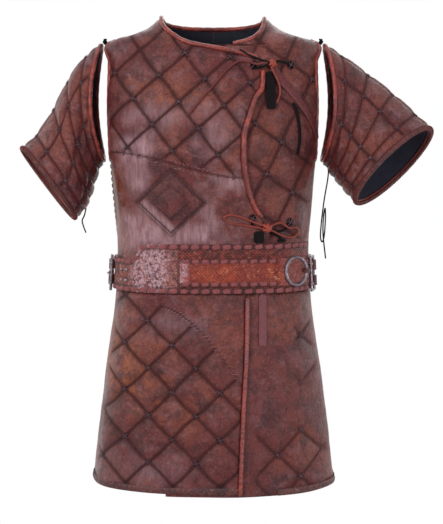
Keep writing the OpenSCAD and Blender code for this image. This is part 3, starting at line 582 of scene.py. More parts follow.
def wrapped(rings, ends=None):
    """Points and faces over a row of rings, closed by a fan to each end point, or into a loop."""
    n, sides = rings.shape[:2]
    at = np.arange(n - 1 if ends else n)[:, None] * sides
    j = np.arange(sides)
    k = (j + 1) % sides
    after = (at + sides) % (n * sides)
    points, faces = rings.reshape(-1, 3), corners(at + j, at + k, after + k, after + j)
    if not ends:
        return points, faces
    last = (n - 1) * sides
    fans = [corners(k, j, n * sides, -1), corners(last + j, last + k, n * sides + 1, -1)]
    return np.concatenate([points, ends]), np.concatenate([faces, *fans])


def tube(path, normals, w, h, sides=10, closed=False, round_ends=True):
    """Points and faces of a tube of half width w and half height h, which may change along the path."""
    path = np.asarray(path, float)
    normals = np.broadcast_to(normals, path.shape)
    along = directions(path, closed)
    w, h = (np.broadcast_to(v, len(path)) for v in (w, h))
    if round_ends and not closed:
        cap = min(w[0], h[0]) * 0.45
        path = np.concatenate([[path[0] - along[0] * cap], path, [path[-1] + along[-1] * cap]])
        normals, along = (np.concatenate([v[:1], v, v[-1:]]) for v in (normals, along))
        w, h = (np.concatenate([[v[0] * 0.55], v, [v[-1] * 0.55]]) for v in (w, h))
    side = unit(np.cross(along, normals))
    up = np.cross(side, along)
    a = 2 * np.pi * np.arange(sides) / sides
    rings = (path[:, None] + side[:, None] * (w[:, None] * np.cos(a))[..., None]
             + up[:, None] * (h[:, None] * np.sin(a))[..., None])
    return wrapped(rings, None if closed else [path[0], path[-1]])


def joined(parts):
    """One list of points and faces from several."""
    starts = np.cumsum([0] + [len(points) for points, _ in parts])
    faces = [np.where(faces < 0, -1, faces + start) for (_, faces), start in zip(parts, starts)]
    return np.concatenate([points for points, _ in parts]), np.concatenate(faces)


def copies(template, places):
    """The template's points and faces at each place: origin, x, y and outward directions, and a scale."""
    points, faces = template
    return joined([(origin + scale * (points[:, :1] * x + points[:, 1:2] * y + points[:, 2:] * n), faces)
                   for origin, x, y, n, scale in places])


def turned(x, y, turn):
    """Two directions turned in their own plane by some degrees."""
    c, s = math.cos(math.radians(turn)), math.sin(math.radians(turn))
    return x * c + y * s, y * c - x * s


def place_on(f, z, off, turn=0, scale=1):
    """Origin and directions of a small part on the body, turned in the surface by some degrees."""
    f, z = float(f), float(z)
    n = outward(f, z)
    x = unit(base(f + 1, z) - base(f - 1, z))
    return skin(f, z, off), *turned(x, np.cross(n, x), turn), n, scale


def place_at(x, z, lift, turn=0, scale=1):
    """A place on the lapped front's leather, some way above it."""
    f = angle_x(x, z)
    return place_on(f, z, over_lift(f) + LEATHER + lift, turn, scale)


def spline(points, per_stretch):
    """The smooth curve through a route's points, as in the frame."""
    p = np.asarray(points, float)
    p = np.concatenate([p[:1], p, p[-1:]])
    u = np.arange(per_stretch)[:, None] / per_stretch
    out = [0.5 * (2 * b + (c - a) * u + (2 * a - 5 * b + 4 * c - d) * u**2 + (3 * b - a - 3 * c + d) * u**3)
           for a, b, c, d in zip(p, p[1:], p[2:], p[3:])]
    return np.concatenate(out + [p[-1:]])


def beside(edge, normals, out, closed=False):
    """A path beside an edge, in the surface."""
    return edge + unit(np.cross(directions(edge, closed), normals)) * out


def run_of(path):
    """Distance along a path to each of its points."""
    return np.concatenate([[0], np.cumsum(np.linalg.norm(np.diff(path[:, :3], axis=0), axis=1))])


def evened(path, step):
    """The same path with points about step apart. Columns after the third go along."""
    run = run_of(path)
    at = np.linspace(0, run[-1], max(3, round(run[-1] / step)) + 1)
    return np.stack([np.interp(at, run, column) for column in path.T], axis=-1)


def even_frames(path, normals, step, closed=False):
    """A path and its normals at points about step apart."""
    rows = np.concatenate([path, normals], axis=1)
    rows = evened(np.concatenate([rows, rows[:1]]), step)[:-1] if closed else evened(rows, step)
    return rows[:, :3], unit(rows[:, 3:])


# Materials
class Wire:
    """A socket of a material's nodes. Arithmetic on it adds Math nodes."""

    def __init__(self, paint, socket):
        self.paint = paint
        self.socket = socket

    def maths(self, operation, *others):
        return self.paint.node("Math", dict(enumerate((self, *others))), operation=operation)

    def __add__(self, other):
        return self.maths("ADD", other)

    def __sub__(self, other):
        return self.maths("SUBTRACT", other)

    def __rsub__(self, other):
        return self.paint.node("Math", {0: other, 1: self}, operation="SUBTRACT")

    def __mul__(self, other):
        return self.maths("MULTIPLY", other)

    __radd__ = __add__
    __rmul__ = __mul__

    def smooth(self, low, high):
        """0 below low, 1 above high, smooth between them."""
        values = {"Value": self, "From Min": low, "From Max": high}
        return self.paint.node("MapRange", values, interpolation_type="SMOOTHSTEP")


class Paint:
    """The nodes of a material, or of the world."""

    def __init__(self, name, colour=(1, 1, 1), kind="materials"):
        self.colour, self.normal = (*colour, 1.0), None
        self.owner = getattr(bpy.data, kind).new(name)
        self.owner.use_nodes = True
        self.tree = self.owner.node_tree
        self.tree.nodes.clear()

    @cached_property
    def where(self):
        """The object's own coordinates."""
        return self.node("TexCoord", output="Object")

    def node(self, kind, values=None, output=0, **settings):
        """Adds a node with values or wires for its inputs, and gives one of its outputs."""
        made = self.tree.nodes.new("ShaderNode" + kind)
        for key, value in settings.items():
            setattr(made, key, value)
        for key, value in (values or {}).items():
            self.feed(made.inputs[key], value)
        return None if output is None else Wire(self, made.outputs[output])

    def feed(self, socket, value):
        if isinstance(value, Wire):
            self.tree.links.new(value.socket, socket)
        else:
            socket.default_value = value

    def noise(self, scale, detail=3.0, rough=0.55, warp=0.0, where=None):
        values = {"Vector": where or self.where, "Scale": scale, "Detail": detail, "Roughness": rough}
        return self.node("TexNoise", {**values, "Distortion": warp})

    def cells(self, scale):
        values = {"Vector": self.where, "Scale": scale}
        return self.node("TexVoronoi", values, "Distance", feature="SMOOTH_F1")

    def mark(self, name):
        return self.node("Attribute", output="Fac", attribute_name=name)

    def stretched(self, x, y, z):
        """The object's coordinates with another scale along each axis."""
        return self.node("VectorMath", {0: self.where, 1: (x, y, z)}, operation="MULTIPLY")

    def seen(self):
        """1 for rays from the camera and for those that gloss or glass sends on, 0 for the light itself."""
        kinds = ("Camera", "Glossy", "Transmission")
        camera, gloss, glass = (self.node("LightPath", output=f"Is {kind} Ray") for kind in kinds)
        return camera.maths("MAXIMUM", gloss).maths("MAXIMUM", glass)

    def over(self, other, share):
        """Mixes another colour over the present one."""
        values = {0: share, 6: self.colour, 7: (*other, 1.0)}
        self.colour = self.node("Mix", values, 2, data_type="RGBA")

    def bump(self, height, depth):
        """Adds a height from 0 to 1 that stands for depth millimetres to the bumps so far."""
        values = {"Height": height, "Distance": depth * MM, "Strength": 1.0}
        if self.normal:
            values["Normal"] = self.normal
        self.normal = self.node("Bump", values)

    def finish(self, roughness, gloss=0.5, metallic=0.0):
        shader = self.node("BsdfPrincipled", {
            "Base Color": self.colour, "Metallic": metallic, "Roughness": roughness, "Normal": self.normal,
            "Specular IOR Level": gloss})
        self.node("OutputMaterial", {"Surface": shader}, None)


def paint_floor(name):
    """Pale floor that takes the shadow and fades into the white background towards its rim."""
    p = Paint(name)
    rim = p.node("VectorMath", {0: p.where}, "Value", operation="LENGTH").smooth(0.2, 1.0)
    share = p.seen() * (0.6 + 0.4 * rim)
    plain = p.node("BsdfDiffuse", {"Color": (0.8, 0.8, 0.8, 1)})
    white = p.node("Emission", {"Color": WHITE, "Strength": 1.0})
    both = p.node("MixShader", {0: share, 1: plain, 2: white})
    p.node("OutputMaterial", {"Surface": both}, None)
    return p.owner


def paint_leather(name, main, warm, bloom):
    """Oiled leather with wear: cloudy patches, creases darkened with painted shade, a grey-pink painted sheen
    over the swells, painted highlight spots and glints, and fine grain.
    """
    colours = bpy.context.scene.tunic_leather
    deep, worn = colours.deep, colours.worn
    p = Paint(name, main)
    p.over(warm, p.noise(9, 2, 0.5, 0.4).smooth(0.42, 0.62))
    p.over(colours.tan, p.mark("tan") * p.noise(30, 5, 0.65, 0.8).smooth(0.32, 0.62))
    p.over(deep, p.noise(24, 5, 0.6, 0.8).smooth(0.44, 0.66) * 0.62)
    mottle = p.noise(80, 6, 0.72, 0.8)
    p.over(deep, mottle.smooth(0.44, 0.66) * 0.6)
    crease, rubbed_sheen = p.mark("crease"), p.mark("worn")
    # Painted sheen: a grey-pink haze, stronger on the swells and scaled by each leather's sheen share.
    haze = p.noise(34, 6, 0.68, 0.8).smooth(0.45, 0.7)
    streaks = p.noise(70, 6, 0.72, 0.4, p.stretched(1.6, 1.6, 0.35)).smooth(0.36, 0.66)
    # Painted highlight: pale streaky sheen on the spots that a panel marks for it.
    shine = p.mark("bloom") * (0.4 + 0.6 * streaks)
    p.over(worn, haze * (0.1 + 0.32 * rubbed_sheen) * bloom)
    # The pale flecks are painted glints. The dark flecks are the leather's own tone.
    flecks = p.noise(240, 4, 0.75)
    p.over(worn, flecks.smooth(0.56, 0.66) * 0.3)
    p.over(deep, (1 - flecks).smooth(0.56, 0.66) * 0.45)
    p.over(linear(206, 162, 170), shine * 0.98)
    # Painted shade along the quilting grooves, seams and patch lines.
    p.over(colours.crease, crease * 0.94)
    grain = p.cells(620) * 0.7 + p.noise(1500, 2) * 0.3
    p.bump(p.noise(70, 6, 0.7, 1.2), 2.2)
    p.bump(p.noise(230, 4, 0.65, 0.4), 0.9)
    p.bump(grain, 0.22)
    p.finish(0.24 + 0.3 * mottle + 0.3 * crease - 0.04 * rubbed_sheen, 0.27)


def paint_piping(name, main, deep, shine):
    """Glossy rolled strip with darker stretches, painted highlight flecks and fine cross wrinkles."""
    p = Paint(name, main)
    stretches = p.noise(24, 4, 0.6, 0.6)
    streaks = p.noise(180, 4, 0.65, 0.5)
    p.over(deep, stretches.smooth(0.42, 0.6) * 0.8)
    p.over(deep, streaks.smooth(0.4, 0.66) * 0.75)
    # Painted highlight: pale pink flecks.
    p.over(linear(214, 146, 142), p.noise(210, 4, 0.7).smooth(0.56, 0.68) * 0.45)
    p.bump(p.noise(190, 4, 0.65, 1.0), 0.9)
    p.bump(p.cells(900), 0.12)
    p.finish(shine + 0.2 * streaks, 0.45)


def paint_lace(name, main, deep, roughness, gloss=0.3):
    """Cut lace: a smooth face, darker flecks and a fibrous feel."""
    p = Paint(name, main)
    flecks = p.noise(210, 5, 0.7, 0.6)
    p.over(deep, flecks.smooth(0.38, 0.72) * 0.7)
    p.over(deep, p.noise(40, 2).smooth(0.5, 0.7) * 0.3)
    p.bump(p.noise(600, 4, 0.7), 0.2)
    p.finish(roughness + 0.2 * flecks, gloss)


def paint_scales(name, main, deep, bright, worn):
    """Embossed belt leather: small raised scales in a slanted grid with painted shade in the hollows between
    them, orange stretches, painted glints, pale stretches of wear that are partly painted glints, and painted
    shade in its grooves and under its laces.
    """
    p = Paint(name, main)
    along, up = p.mark("along"), p.mark("up")
    first = ((along + up) * 0.5).maths("SINE").maths("ABSOLUTE")
    second = ((along - up) * 0.5).maths("SINE").maths("ABSOLUTE")
    scale = (first * second).maths("POWER", 0.6)
    flecks, tan = p.noise(100, 6, 0.75), p.mark("tan")
    p.over(bright, p.noise(20, 3, 0.6, 0.8).smooth(0.4, 0.62))
    p.over(linear(206, 96, 56), tan * p.noise(36, 4, 0.6).smooth(0.4, 0.62) * 0.8)
    # Painted shade in the hollows between the scales.
    p.over(deep, (1 - scale) * 0.8)
    p.over(deep, flecks.smooth(0.46, 0.58) * 0.75)
    # Painted glints, most in the orange stretches.
    glints = p.noise(130, 6, 0.8).smooth(0.54, 0.62)
    p.over(linear(240, 160, 128), glints * (0.25 + 0.6 * tan))
    # Pale speckles of wear, partly painted glints.
    rubbed_sheen = p.mark("worn") * p.noise(190, 5, 0.74).smooth(0.38, 0.6)
    p.over(worn, rubbed_sheen * 0.96)
    # Painted shade in the grooves, under the laced edges and in the strap's slit.
    p.over(linear(44, 14, 18), p.mark("crease") * 0.85)
    p.bump(scale, 0.8)
    p.bump(p.noise(170, 5, 0.7), 1.2)
    p.finish(0.22 + 0.3 * flecks, 0.32)


def paint_cloth(name, main):
    """Dark lining cloth with a plain weave."""
    p = Paint(name, main)
    warp, weft = ((p.node("SeparateXYZ", {0: p.where}, way) * 5200).maths("SINE") for way in "XZ")
    thread = (warp * weft).smooth(-0.9, 0.9)
    pale = tuple(min(1, c * 1.9 + 0.004) for c in main)
    p.over(pale, p.noise(14, 4, 0.6).smooth(0.4, 0.7))
    p.over(pale, thread * 0.3)
    p.bump(p.noise(40, 4, 0.6), 0.8)
    p.bump(thread, 0.15)
    p.finish(0.75 + 0.15 * thread)


def paint_metal(name, main):
    """Dull forged metal with dents, tarnish and a few bright scratches."""
    p = Paint(name, main)
    tarnish = p.noise(120, 5, 0.65, 0.6)
    scratches = p.noise(520, 3, 0.6, 0.2, p.stretched(1, 1, 0.2))
    dark = tuple(c * 0.32 for c in main)
    p.over(dark, tarnish.smooth(0.42, 0.7) * 0.8)
    p.over((0.8, 0.76, 0.8), scratches.smooth(0.6, 0.7) * 0.5)
    p.bump(p.noise(160, 3, 0.5), 0.35)
    p.finish(0.26 + 0.3 * tarnish, metallic=0.95)


# Ties. Routes are points on the front: distance to the wearer's left, height and lift off the body's surface.
NECK_THIN = [[98, -89, 12.5], [89, -90, 13.5], [78, -92, 13.2], [64, -88, 12.6], [47, -86, 10.4],
             [29, -98, 10.3], [6, -124, 10.3], [-13, -145, 10.3], [-31, -166, 10.3], [-44, -181, 10.3]]
NECK_WIDE = [[107, -97, 9.5], [120, -116, 8], [136, -132, 6], [153, -152, 5.3], [170, -174, 5.3],
             [182, -198, 5.3], [189, -222, 5.3]]
NECK_SHORT = [[103, -97, 14], [108, -108, 13], [114, -120, 12], [119, -132, 8], [119, -146, 5.6],
              [113, -158, 8.5]]
NECK_DARK = [[144, -158, 4.9], [149, -170, 4.9], [154, -192, 4.9], [156, -222, 4.9], [152, -250, 4.9]]
WAIST_LEFT = [[90, -378, 15], [72, -371, 12.8], [50, -362, 11], [30, -358, 10.3], [20, -364, 10.3],
              [30, -373, 10.3], [50, -376, 10.3], [72, -380, 10.8], [90, -384, 14]]
WAIST_RIGHT = [[101, -379, 12], [120, -374, 7.2], [136, -384, 6.1], [149, -385, 6.1], [154, -393, 6.1],
               [144, -402, 5.9], [128, -400, 5.9], [101, -386, 12]]
# Laces that hang from the sleeves, in the frame of the wearer's left side.
LACE_LEFT = [[218, -14, -280.5], [216, -16, -300], [210, -18, -335], [205, -20, -375], [203, -20, -405],
             [206, -20, -416], [210, -20, -405], [212, -22, -372], [211, -25, -352], [208, -28, -368],
             [207, -31, -400], [212, -32, -446]]
LACE_RIGHT = [[240, -16, -353], [243, -18, -366], [247, -20, -376], [244, -21, -388], [240, -22, -398]]
THONG_R = 2
LACE_R = 1.3

EYELETS = [[74, -91, True], [140, -90, False], [70, -365, True], [139, -374, False]]
EYELET_R = 7
NECK_KNOT = [105, -90]
WAIST_KNOT = [95, -382]
NECK_KNOT_LIFT = LEATHER + 6.4
WAIST_KNOT_LIFT = LEATHER + LAP + 5.7
NECK_TAB_X = 103
NECK_TAB_HALF_W = 8
PATCH_MID = [-74, -336]
PATCH_HALF = [62, 60]
TAIL_X = 90
TAIL_HALF_W = 7
TAIL_L = 96

# Where small parts lie on the front, so that the leather is pressed flat there: a line and its half width.
PRESSED = [(np.array(line)[:, :2], half_w) for line, half_w in (
    (NECK_THIN, 2.5), (NECK_SHORT, 2.5), (WAIST_LEFT, 2.5), (WAIST_RIGHT, 2.5), (NECK_WIDE, 8),
    (NECK_DARK, 4), ([[NECK_TAB_X, -104], [NECK_TAB_X, -170]], 9),
    ([[TAIL_X, -BELT_LOW], [TAIL_X, -BELT_LOW - TAIL_L]], 8),
    *(([[x, z], [x + 0.1, z]], 8) for x, z, _ in EYELETS))]


def line_gap(x, z, line):
    """Distance from points to a line of straight stretches."""
    least = np.full(np.shape(x), 1e9)
    for (ax, az), (bx, bz) in zip(line[:-1], line[1:]):
        t = np.clip(((x - ax) * (bx - ax) + (z - az) * (bz - az)) / ((bx - ax)**2 + (bz - az)**2), 0, 1)
        least = np.minimum(least, np.hypot(x - ax - t * (bx - ax), z - az - t * (bz - az)))
    return least


def press_share(x, z):
    """1 where the leather is free to swell and 0 under the small parts."""
    share = np.ones(np.shape(x))
    for line, half_w in PRESSED:
        share = np.minimum(share, smooth(half_w, half_w + 8, line_gap(x, z, line)))
    return share


# Quilting of each panel, as the knots in the frame lie.
OVER_LATTICE = ([-49, -70], [-46, -40], [35, -47], 11)
UNDER_LATTICE = ([124, -228], [48, -34], [-28, -57], 12)
BACK_PITCH = [33.12, 28.52]
BACK_TOP = -62
SKIRT_PITCH = 43
SKIRT_OVER_LATTICE = ([-30, -640], [SKIRT_PITCH, -SKIRT_PITCH], [-SKIRT_PITCH, -SKIRT_PITCH], 14)
SKIRT_UNDER_LATTICE = ([118, -800], *SKIRT_OVER_LATTICE[1:3], 15)
SKIRT_BACK_PITCH = [40, 40]
SKIRT_BACK_TOP = -BELT_LOW - SKIRT_BACK_PITCH[1]
YOKE_LEFT_Z = -246
YOKE_RIGHT_Z = -292
BUSY = [[76, -91, 14], [140, -90, 14], [104, -92, 18], [103, -118, 20], [103, -152, 22], [122, -114, 18],
        [140, -134, 18], [158, -158, 18], [176, -186, 20], [150, -180, 14], [156, -222, 14], [152, -250, 12],
        [70, -365, 14], [139, -374, 14], [98, -384, 24], [130, -382, 30], [60, -372, 26], [20, -366, 22]]
EDGE_ROOM = 16


def back_lattice(pitch, top, seed):
    """The same quilting on both sides of the back's middle."""
    return [pitch[0] / 2, top], [pitch[0], -pitch[1]], pitch, seed, True


def is_clear(x, z):
    return all(math.hypot(x - b[0], z - b[1]) >= b[2] for b in BUSY)


def yoke_z(x):
    return YOKE_LEFT_Z + (YOKE_RIGHT_Z - YOKE_LEFT_Z) * smooth(-185, 60, x)


def over_holds(x, z):
    return (yoke_z(x) + 12 < z < -40 - 0.25 * abs(x) and x < over_x(z) - EDGE_ROOM
            and x > -half_width(z) * 0.93 and x > -195 + arm_y(z) * 0.3)


def under_holds(x, z):
    return -BELT_TOP + 16 < z < -62 and max(over_x(z), UNDER_X) + EDGE_ROOM < x < half_width(z) * 0.9


def skirt_seam_z(x):
    """Height of the curved seam that crosses the over flap below the belt."""
    return -528 - 124 * (np.clip(x + 90, 0, 200) / 130)**1.6


def skirt_over_holds(x, z):
    return (-HEM_DROP + 20 < z < -BELT_LOW - 12 and -half_width(z) * 0.93 < x < over_x(z) - EDGE_ROOM
            and (x < -92 or z < skirt_seam_z(x) - 10))


def skirt_under_holds(x, z):
    return (-HEM_DROP + 20 < z < -BELT_LOW - 30 and over_x(z) + EDGE_ROOM + 14 < x < half_width(z) * 0.93
            and (z < -740 or x > 150))


def from_side(x, z, none=0.99, full=0.9):
    """1 over most of a panel, and 0 at its side seam."""
    return smooth(none, full, np.abs(x) / half_width(z))


def zone_over(x, z):
    return from_side(x, z) * smooth(yoke_z(x) - 2, yoke_z(x) + 8, z) * smooth(-14, -34, z)


def zone_under(x, z):
    return from_side(x, z, 0.985) * smooth(-14, -34, z) * smooth(-BELT_TOP - 2, -BELT_TOP + 14, z)


def zone_back(x, z):
    return zone_skirt_back(x, z) * smooth(-26, -44, z) * smooth(-BELT_TOP + 2, -BELT_TOP + 16, z)


def zone_skirt_over(x, z):
    seam = smooth(skirt_seam_z(x) + 2, skirt_seam_z(x) - 6, z)
    return from_side(x, z, full=0.92) * np.where(x > -92, seam, 1)


def zone_skirt_under(x, z):
    low = smooth(-735, -765, z) * smooth(62, 96, x)
    high = smooth(138, 160, x) * smooth(-700, -640, z)
    return from_side(x, z, full=0.92) * np.maximum(low, high) * 0.85


def zone_skirt_back(x, z):
    return from_side(x, z) * smooth(3, 15, np.abs(x))


class Panel:
    """A curved leather panel of the body, with its grid of angles and heights."""

    def __init__(self, rows, edges, off, lattice, zone, seed, mid=None):
        step = bpy.context.scene.tunic_quilting.step / MM
        lo, hi = edges
        widest = max(run_of(base(np.linspace(float(lo(z)), float(hi(z)), 60), z))[-1]
                     for z in rows[::max(1, len(rows) // 12)])
        self.f, self.z = grid_of(rows, lo, hi, max(12, round(widest / step)), mid)
        flat = base(self.f, self.z)
        self.x, self.gap = flat[..., 0], border_gap(flat)
        self.off, self.seed = off, seed
        self.zone = zone(self.x, self.z)
        self.lattice = Lattice(*lattice)
        near = self.lattice.measure(self.x, self.z)
        self.relief, self.crease, self.worn = quilted(*near, self.zone, self.x, self.z, seed)
        # Painted highlight spots and orange-brown spots that partly stand in for highlights, nothing until a
        # panel sets them.
        self.bloom, self.tan = 0 * self.x, 0 * self.x

    def spot(self, x, z, wide, high):
        """1 at a place and less round it."""
        across, up = (self.x - x) / wide, (self.z - z) / high
        ragged = 0.25 * wander(self.x, self.z, 16, self.seed + 9)
        return np.clip(np.exp(-across**2 - up**2) + ragged, 0, 1) * (np.hypot(across, up) < 2)

    def spots(self, *places):
        """Spots together, each with its strength, place and half sizes."""
        return np.clip(sum(share * self.spot(*place) for share, *place in places), 0, 1)

    def score(self, gap, depth, width, tone, tone_width):
        """Sinks the leather along a seam and darkens it there with painted shade."""
        self.relief = self.relief - depth * bell(gap, width)
        self.crease = np.maximum(self.crease, tone * bell(gap, tone_width))

    def ease(self, share):
        """Flattens the relief where share is 0."""
        self.relief = self.relief * share

    def add(self, name, material, body, node):
        self.ease(smooth(0, 9, self.gap))
        inner = self.off(self.f)
        outer = inner + LEATHER * (1 - 0.4 * bell(self.gap, 1.6)) + np.maximum(self.relief, -2.3)
        marks = faced(crease=self.crease, worn=self.worn, bloom=self.bloom, tan=self.tan)
        shape = layer(self.f, self.z, inner, outer)
        made = add_piece(name, shape, material, body, material.replace(" ", "_"), node, marks=marks)
        add_quilting(name, self.grooves(), body)

    def grooves(self):
        """Paths of points and normals along the quilting lines, where the leather is free to swell."""
        flat = np.stack([self.x, self.z, 0 * self.x], axis=-1).reshape(-1, 3)
        near = near_tree(flat)
        depth = (self.off(self.f) + LEATHER + self.relief).ravel()
        free = (self.zone.ravel() > 0.5) & (self.gap.ravel() > 6)
        paths = []
        for row in self.lattice.threads(9):
            found = [near.find((x, z, 0)) for x, z in row]
            keep = np.array([gap < 4 and free[k] for _, k, gap in found])
            if keep.sum() > 4:
                x, z = row[keep].T
                high = depth[[k for _, k, _ in found]][keep]
                high[1:-1] = (high[:-2] + 2 * high[1:-1] + high[2:]) / 4
                f = 180 - angle_x(x, z) if self.lattice.mirrored else angle_x(x, z)
                paths.append(np.concatenate([skin(f, z, high), outward(f, z)], axis=1))
        return paths


# Small repeated parts: points and faces round their own origin, x along, y up the leather and z outwards.
def stitch_template(length, radius, lift, sides=6, rings=7):
    """A thread that comes out of the leather, lies along x and goes back in."""
    s = np.linspace(-1, 1, rings)
    path = np.stack([s * length / 2, 0 * s, lift * (1 - s**4) - radius * 0.6], axis=-1)
    return tube(path, UP, radius, radius * 0.8, sides)


def stitch_runs(paths, pitch):
    """Places for stitches one after another along paths of points and normals."""
    places = []
    for path in paths:
        run = evened(path, pitch)
        for a, b in zip(run[:-1], run[1:]):
            n, x = unit(a[3:] + b[3:]), unit(b[:3] - a[:3])
            places.append(((a[:3] + b[:3]) / 2, x, np.cross(n, x), n, 1))
    return places


def add_stitches(name, sizes, places, material, body, slot, *nodes):
    add_piece(name, copies(stitch_template(*sizes), places), material, body, slot, *nodes)


def add_quilting(name, paths, body):
    """The thread along the quilting lines of a leather piece."""
    add_stitches(name.replace("Leather", "Quilting"), (5.4, 0.9, 1.0, 6, 5), stitch_runs(paths, 6),
                 "quilting thread", body, "knot_thread")


def knot_template():
    """Two crossed threads, a wrap round their crossing and two cut ends."""
    s, a = np.linspace(-1, 1, 9), np.linspace(0, 2.6 * np.pi, 16)
    wrap = np.stack([2.0 * np.cos(a), 1.6 * np.sin(a), 1.7 + 0.25 * a / np.pi], axis=-1)
    threads = [(np.stack([6.2 * s, 4.4 * k * s, high * (1 - np.abs(s)**2.4) - 0.7], axis=-1), 0.95, 0.8)
               for k, high in ((1, 2.5), (-1, 1.7))]
    ends = [[[0.5, -0.5, 2.0], [2.4, -2.8, 2.6], [3.6, -5.4, 1.5], [4.0, -7.2, 0.9]],
            [[-0.5, 0.5, 2.0], [-1.6, 2.8, 2.4], [-1.2, 5.2, 1.3], [-0.4, 6.6, 0.8]]]
    threads += [(wrap, 0.75, 0.75)] + [(spline(end, 3), 0.55, 0.5) for end in ends]
    return joined([tube(path, UP, half_w, half_h, 6) for path, half_w, half_h in threads])


def ribbon_template(length, width, lift):
    """A flat lace that comes out of a slit, lies along the edge and goes back in."""
    s = np.linspace(-1, 1, 15)
    path = np.stack([s * length / 2, 0.06 * length * s, lift * (1 - s**6) - 0.9 * s**8], axis=-1)
    return tube(path, UP, width / 2 * (1 - 0.35 * s**6), 0.9, 10)


def knots_at(points, off_of, seed, back_side=0):
    """Places for knots, each turned and scaled a little differently."""
    rng = default_rng(seed)
    places = []
    for x, z in points:
        f = 180 - back_side * angle_x(x, z) if back_side else angle_x(x, z)
        places.append(place_on(f, z, LEATHER - 1.6 + off_of(f), rng.uniform(-30, 30), rng.uniform(0.8, 1.0)))
    return places


def add_knots(name, places, body, *nodes):
    add_piece(name, copies(knot_template(), places), "thread", body, "knot_thread", *nodes)


def add_front_knots(name, lattice, count, holds, off, seed, body, *nodes):
    add_knots(name, knots_at(Lattice(*lattice).knots(count, holds), off, seed), body, *nodes)


def add_back_knots(name, pitch, top, rows, low, share, seed, body, *nodes):
    """Knots at every other crossing of a grid on the back, from its middle outwards."""
    points = []
    for i in range(5):
        for j in range(i % 2, rows, 2):
            x, z = (i + 0.5) * pitch[0], top - pitch[1] * j
            if z > low and x < half_width(z) * (0.7 if j == 0 and share < 0.9 else share):
                points.append((x, z))
    places = [place for side, _ in SIDES for place in knots_at(points, no_lift, seed + side, side)]
    add_knots(name, places, body, *nodes)


def front_frames(route):
    """Points and surface normals of a route on the front."""
    x, z, lift = np.asarray(route, float).T
    f = angle_x(x, z)
    return skin(f, z, lift), outward(f, z)


def add_cord(name, path, normals, half_w, half_h, material, body, slot, node):
    """A free cord: a tube on its route."""
    made = add_piece(name, tube(path, normals, half_w, half_h, 12), material, body, slot, node)
    line = path * MM
    2 * half_w * MM


class TUNIC_OT_finishes(bpy.types.Operator):
    """Mixes the leathers, laces, cloth and metal"""

    bl_idname = "tunic.finishes"
    bl_label = "Finishes"

    def execute(self, context):
        leather, trim = context.scene.tunic_leather, context.scene.tunic_trim
        main, deep, warm, crease = leather.main, leather.deep, leather.warm, leather.crease
        shade, strap, worn = trim.piping_deep, trim.strap, trim.belt_wear_and_sheen
        # Each leather's last number is its share of painted sheen.
        for part, bloom in (("over", 0.8), ("back", 0.5), ("sleeve", 0.9), ("skirt", 0.6)):
            paint_leather(f"{part} leather", main, warm, bloom)
        paint_leather("under leather", warm, main, 0.5)
        paint_leather("patch leather", linear(112, 60, 58), main, 0.6)
        paint_cloth("lining cloth", leather.lining)
        paint_piping("glossy piping", trim.piping, shade, 0.24)
        paint_piping("binding", linear(112, 56, 52), crease, 0.4)
        laces = (("orange thong", trim.thong, shade, 0.35), ("dark thong", linear(116, 52, 50), shade, 0.38),
                 ("knot", linear(176, 82, 66), trim.piping, 0.35), ("wide strap", strap, deep, 0.4),
                 ("belt lace", trim.lace, strap, 0.42), ("tail strap", linear(134, 78, 86), strap, 0.42),
                 ("black leather", trim.black, linear(26, 14, 16), 0.5, 0.1),
                 ("thread", trim.thread, trim.black, 0.3), ("quilting thread", trim.stitch, crease, 0.35),
                 ("pale thread", linear(176, 132, 138), strap, 0.4),
                 ("whip thread", linear(124, 66, 64), strap, 0.45))
        for lace in laces:
            paint_lace(*lace)
        paint_scales("belt scales", trim.belt, crease, trim.piping, worn)
        paint_scales("strap scales", trim.belt_bright, trim.belt, linear(200, 84, 44), worn)
        paint_metal("forged steel", trim.steel)
        return {"FINISHED"}


